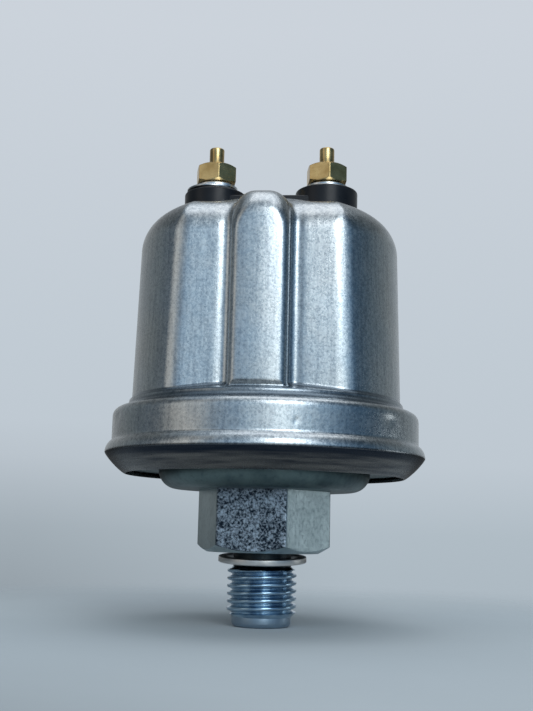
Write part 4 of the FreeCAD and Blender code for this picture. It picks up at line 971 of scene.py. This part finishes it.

# Azimuth from the front, positive to the object's right, and the light that comes from there.
# These colours were worked back from readings of the photo across the can, then adjusted
roomPanels = [
    (-180, (0.62, 0.66, 0.70)), (-158, (0.48, 0.51, 0.53)), (-135, (0.30, 0.32, 0.33)),
    (-107, (0.19, 0.22, 0.23)), (-95, (0.14, 0.17, 0.20)), (-83, (0.14, 0.18, 0.22)),
    (-73, (0.22, 0.25, 0.27)), (-64, (0.70, 0.69, 0.66)), (-54, (0.96, 0.94, 0.89)),
    (-46, (0.76, 0.75, 0.72)), (-37, (0.38, 0.46, 0.53)), (-26, (0.38, 0.50, 0.63)),
    (-17, (0.44, 0.60, 0.77)), (-9, (0.56, 0.77, 0.96)), (-1, (0.74, 0.92, 1.06)),
    (8, (1.25, 1.44, 1.54)), (18, (1.75, 1.95, 2.02)), (28, (1.00, 1.30, 1.50)),
    (38, (0.52, 0.75, 0.96)), (48, (0.34, 0.52, 0.72)), (58, (0.20, 0.34, 0.50)),
    (68, (0.09, 0.17, 0.27)), (86, (0.06, 0.115, 0.18)), (98, (0.10, 0.145, 0.18)),
    (112, (0.16, 0.20, 0.225)), (135, (0.28, 0.31, 0.32)), (158, (0.46, 0.50, 0.53)),
    (180, (0.62, 0.66, 0.70)),
]


def makeCamera():
    turn, tilt, roll = (math.radians(studio[name]) for name in ("azimuth", "tilt", "roll"))
    right = Vector((math.cos(turn), math.sin(turn), 0))
    ahead = Vector((-math.sin(turn) * math.cos(tilt), math.cos(turn) * math.cos(tilt), math.sin(tilt)))
    up = right.cross(ahead)
    rolledRight = right * math.cos(roll) + up * math.sin(roll)
    rolledUp = up * math.cos(roll) - right * math.sin(roll)
    camera = bpy.data.objects.new("camera", bpy.data.cameras.new("camera"))
    bpy.context.scene.collection.objects.link(camera)
    camera.data.lens = studio["lens"]
    camera.data.clip_start = 0.01
    axes = Matrix((rolledRight, rolledUp, -ahead)).transposed().to_4x4()
    camera.matrix_world = Matrix.Translation(studio["camera"]) @ axes
    bpy.context.scene.camera = camera


def addLamp(name, place, aim, width, height, watts, colour):
    data = bpy.data.lights.new(name, "AREA")
    data.shape = "RECTANGLE"
    data.size = width
    data.size_y = height
    data.energy = watts
    data.color = colour
    lamp = bpy.data.objects.new(name, data)
    bpy.context.scene.collection.objects.link(lamp)
    lamp.location = place
    lamp.visible_camera = False
    lamp.rotation_euler = (Vector(aim) - Vector(place)).to_track_quat("-Z", "Y").to_euler()


# The floor melts into the backdrop a little way behind the object
def makeFloor():
    bpy.ops.mesh.primitive_plane_add(size=studio["floorSize"], location=(0, 0, 0))
    floor = bpy.context.object
    floor.name = "floor"
    material, tree = newMaterial("paleFloor")
    coords = objectCoords(tree)
    grain = noise(tree, coords, studio["floorGrain"])
    base = studio["floor"]
    colour = colourRamp(tree, grain, [(0.3, tuple(part * 0.98 for part in base)), (0.7, base)])
    far = addNode(tree, "ShaderNodeVectorMath", operation="LENGTH")
    tree.links.new(coords, far.inputs[0])
    fade = remap(tree, far.outputs["Value"], *studio["floorFades"], 0.0, 1.0)
    fade.node.interpolation_type = "SMOOTHSTEP"
    sheet = addNode(tree, "ShaderNodeBsdfDiffuse")
    tree.links.new(colour, sheet.inputs["Color"])
    clear = addNode(tree, "ShaderNodeBsdfTransparent")
    mix = addNode(tree, "ShaderNodeMixShader")
    output = addNode(tree, "ShaderNodeOutputMaterial")
    tree.links.new(fade, mix.inputs[0])
    tree.links.new(sheet.outputs[0], mix.inputs[1])
    tree.links.new(clear.outputs[0], mix.inputs[2])
    tree.links.new(mix.outputs[0], output.inputs["Surface"])
    floor.data.materials.append(material)


def makeRoom():
    world = bpy.data.worlds.new("studio")
    bpy.context.scene.world = world
    world.use_nodes = True
    tree = world.node_tree
    tree.nodes.clear()
    coords = addNode(tree, "ShaderNodeTexCoord")
    split = addNode(tree, "ShaderNodeSeparateXYZ")
    tree.links.new(coords.outputs["Generated"], split.inputs[0])
    front = maths(tree, "MULTIPLY", split.outputs["Y"], -1.0)
    around = remap(tree, maths(tree, "ARCTAN2", split.outputs["X"], front), -math.pi, math.pi, 0.0, 1.0)
    panels = colourRamp(tree, around, [((azimuth + 180) / 360, colour) for azimuth, colour in roomPanels])
    rise = remap(tree, split.outputs["Z"], *studio["wallSpan"], 0.0, 1.0)
    wall = colourRamp(tree, rise, [(place, (level, level, level)) for place, level in studio["wall"]])
    overhead = remap(tree, split.outputs["Z"], *studio["ceilingSpan"], 0.0, 1.0)
    room = mixColours(tree, overhead, mixColours(tree, 1.0, panels, wall, "MULTIPLY"), studio["ceiling"])
    height = remap(tree, split.outputs["Z"], *studio["backdropSpan"], 0.0, 1.0)
    backdrop = colourRamp(tree, height, studio["backdrop"])
    # Painted shadow: the backdrop darkened at the lower left
    left = remap(tree, split.outputs["X"], *studio["shadeAcross"], 0.0, 1.0)
    shade = maths(tree, "MULTIPLY", left, remap(tree, split.outputs["Z"], *studio["shadeUp"], 0.0, 1.0))
    shaded = mixColours(tree, 1.0, backdrop, (studio["shade"],) * 3, "MULTIPLY")
    backdrop = mixColours(tree, shade, backdrop, shaded)
    paths = addNode(tree, "ShaderNodeLightPath")
    seen = mixColours(tree, paths.outputs["Is Camera Ray"], room, backdrop)
    light = addNode(tree, "ShaderNodeBackground")
    output = addNode(tree, "ShaderNodeOutputWorld")
    tree.links.new(seen, light.inputs["Color"])
    tree.links.new(light.outputs[0], output.inputs["Surface"])


lamps = {
    "keyPanel": {"place": (0.16, -0.44, 0.34), "aim": (0, 0, 0.04), "width": 0.26, "height": 0.30,
                 "watts": 0.8, "colour": (0.93, 0.97, 1.0)},
    "topPanel": {"place": (0.06, -0.02, 0.60), "aim": (0, 0, 0.05), "width": 0.45, "height": 0.45,
                 "watts": 0.70, "colour": (0.97, 0.98, 1.0)},
    "lowPanel": {"place": (0.34, 0.075, 0.022), "aim": (0, 0, 0.018), "width": 0.12, "height": 0.036,
                 "watts": 0.030, "colour": (0.90, 0.97, 1.0)},
    "slimPanel": {"place": (0.075, -0.33, 0.005), "aim": (0, 0, 0.012), "width": 0.020, "height": 0.10,
                  "watts": 0.022, "colour": (0.92, 0.98, 1.0)},
}

print("studio")
makeCamera()
makeFloor()
makeRoom()
for lampName, settings in lamps.items():
    addLamp(lampName, **settings)

bpy.context.scene.view_settings.view_transform = "Standard"
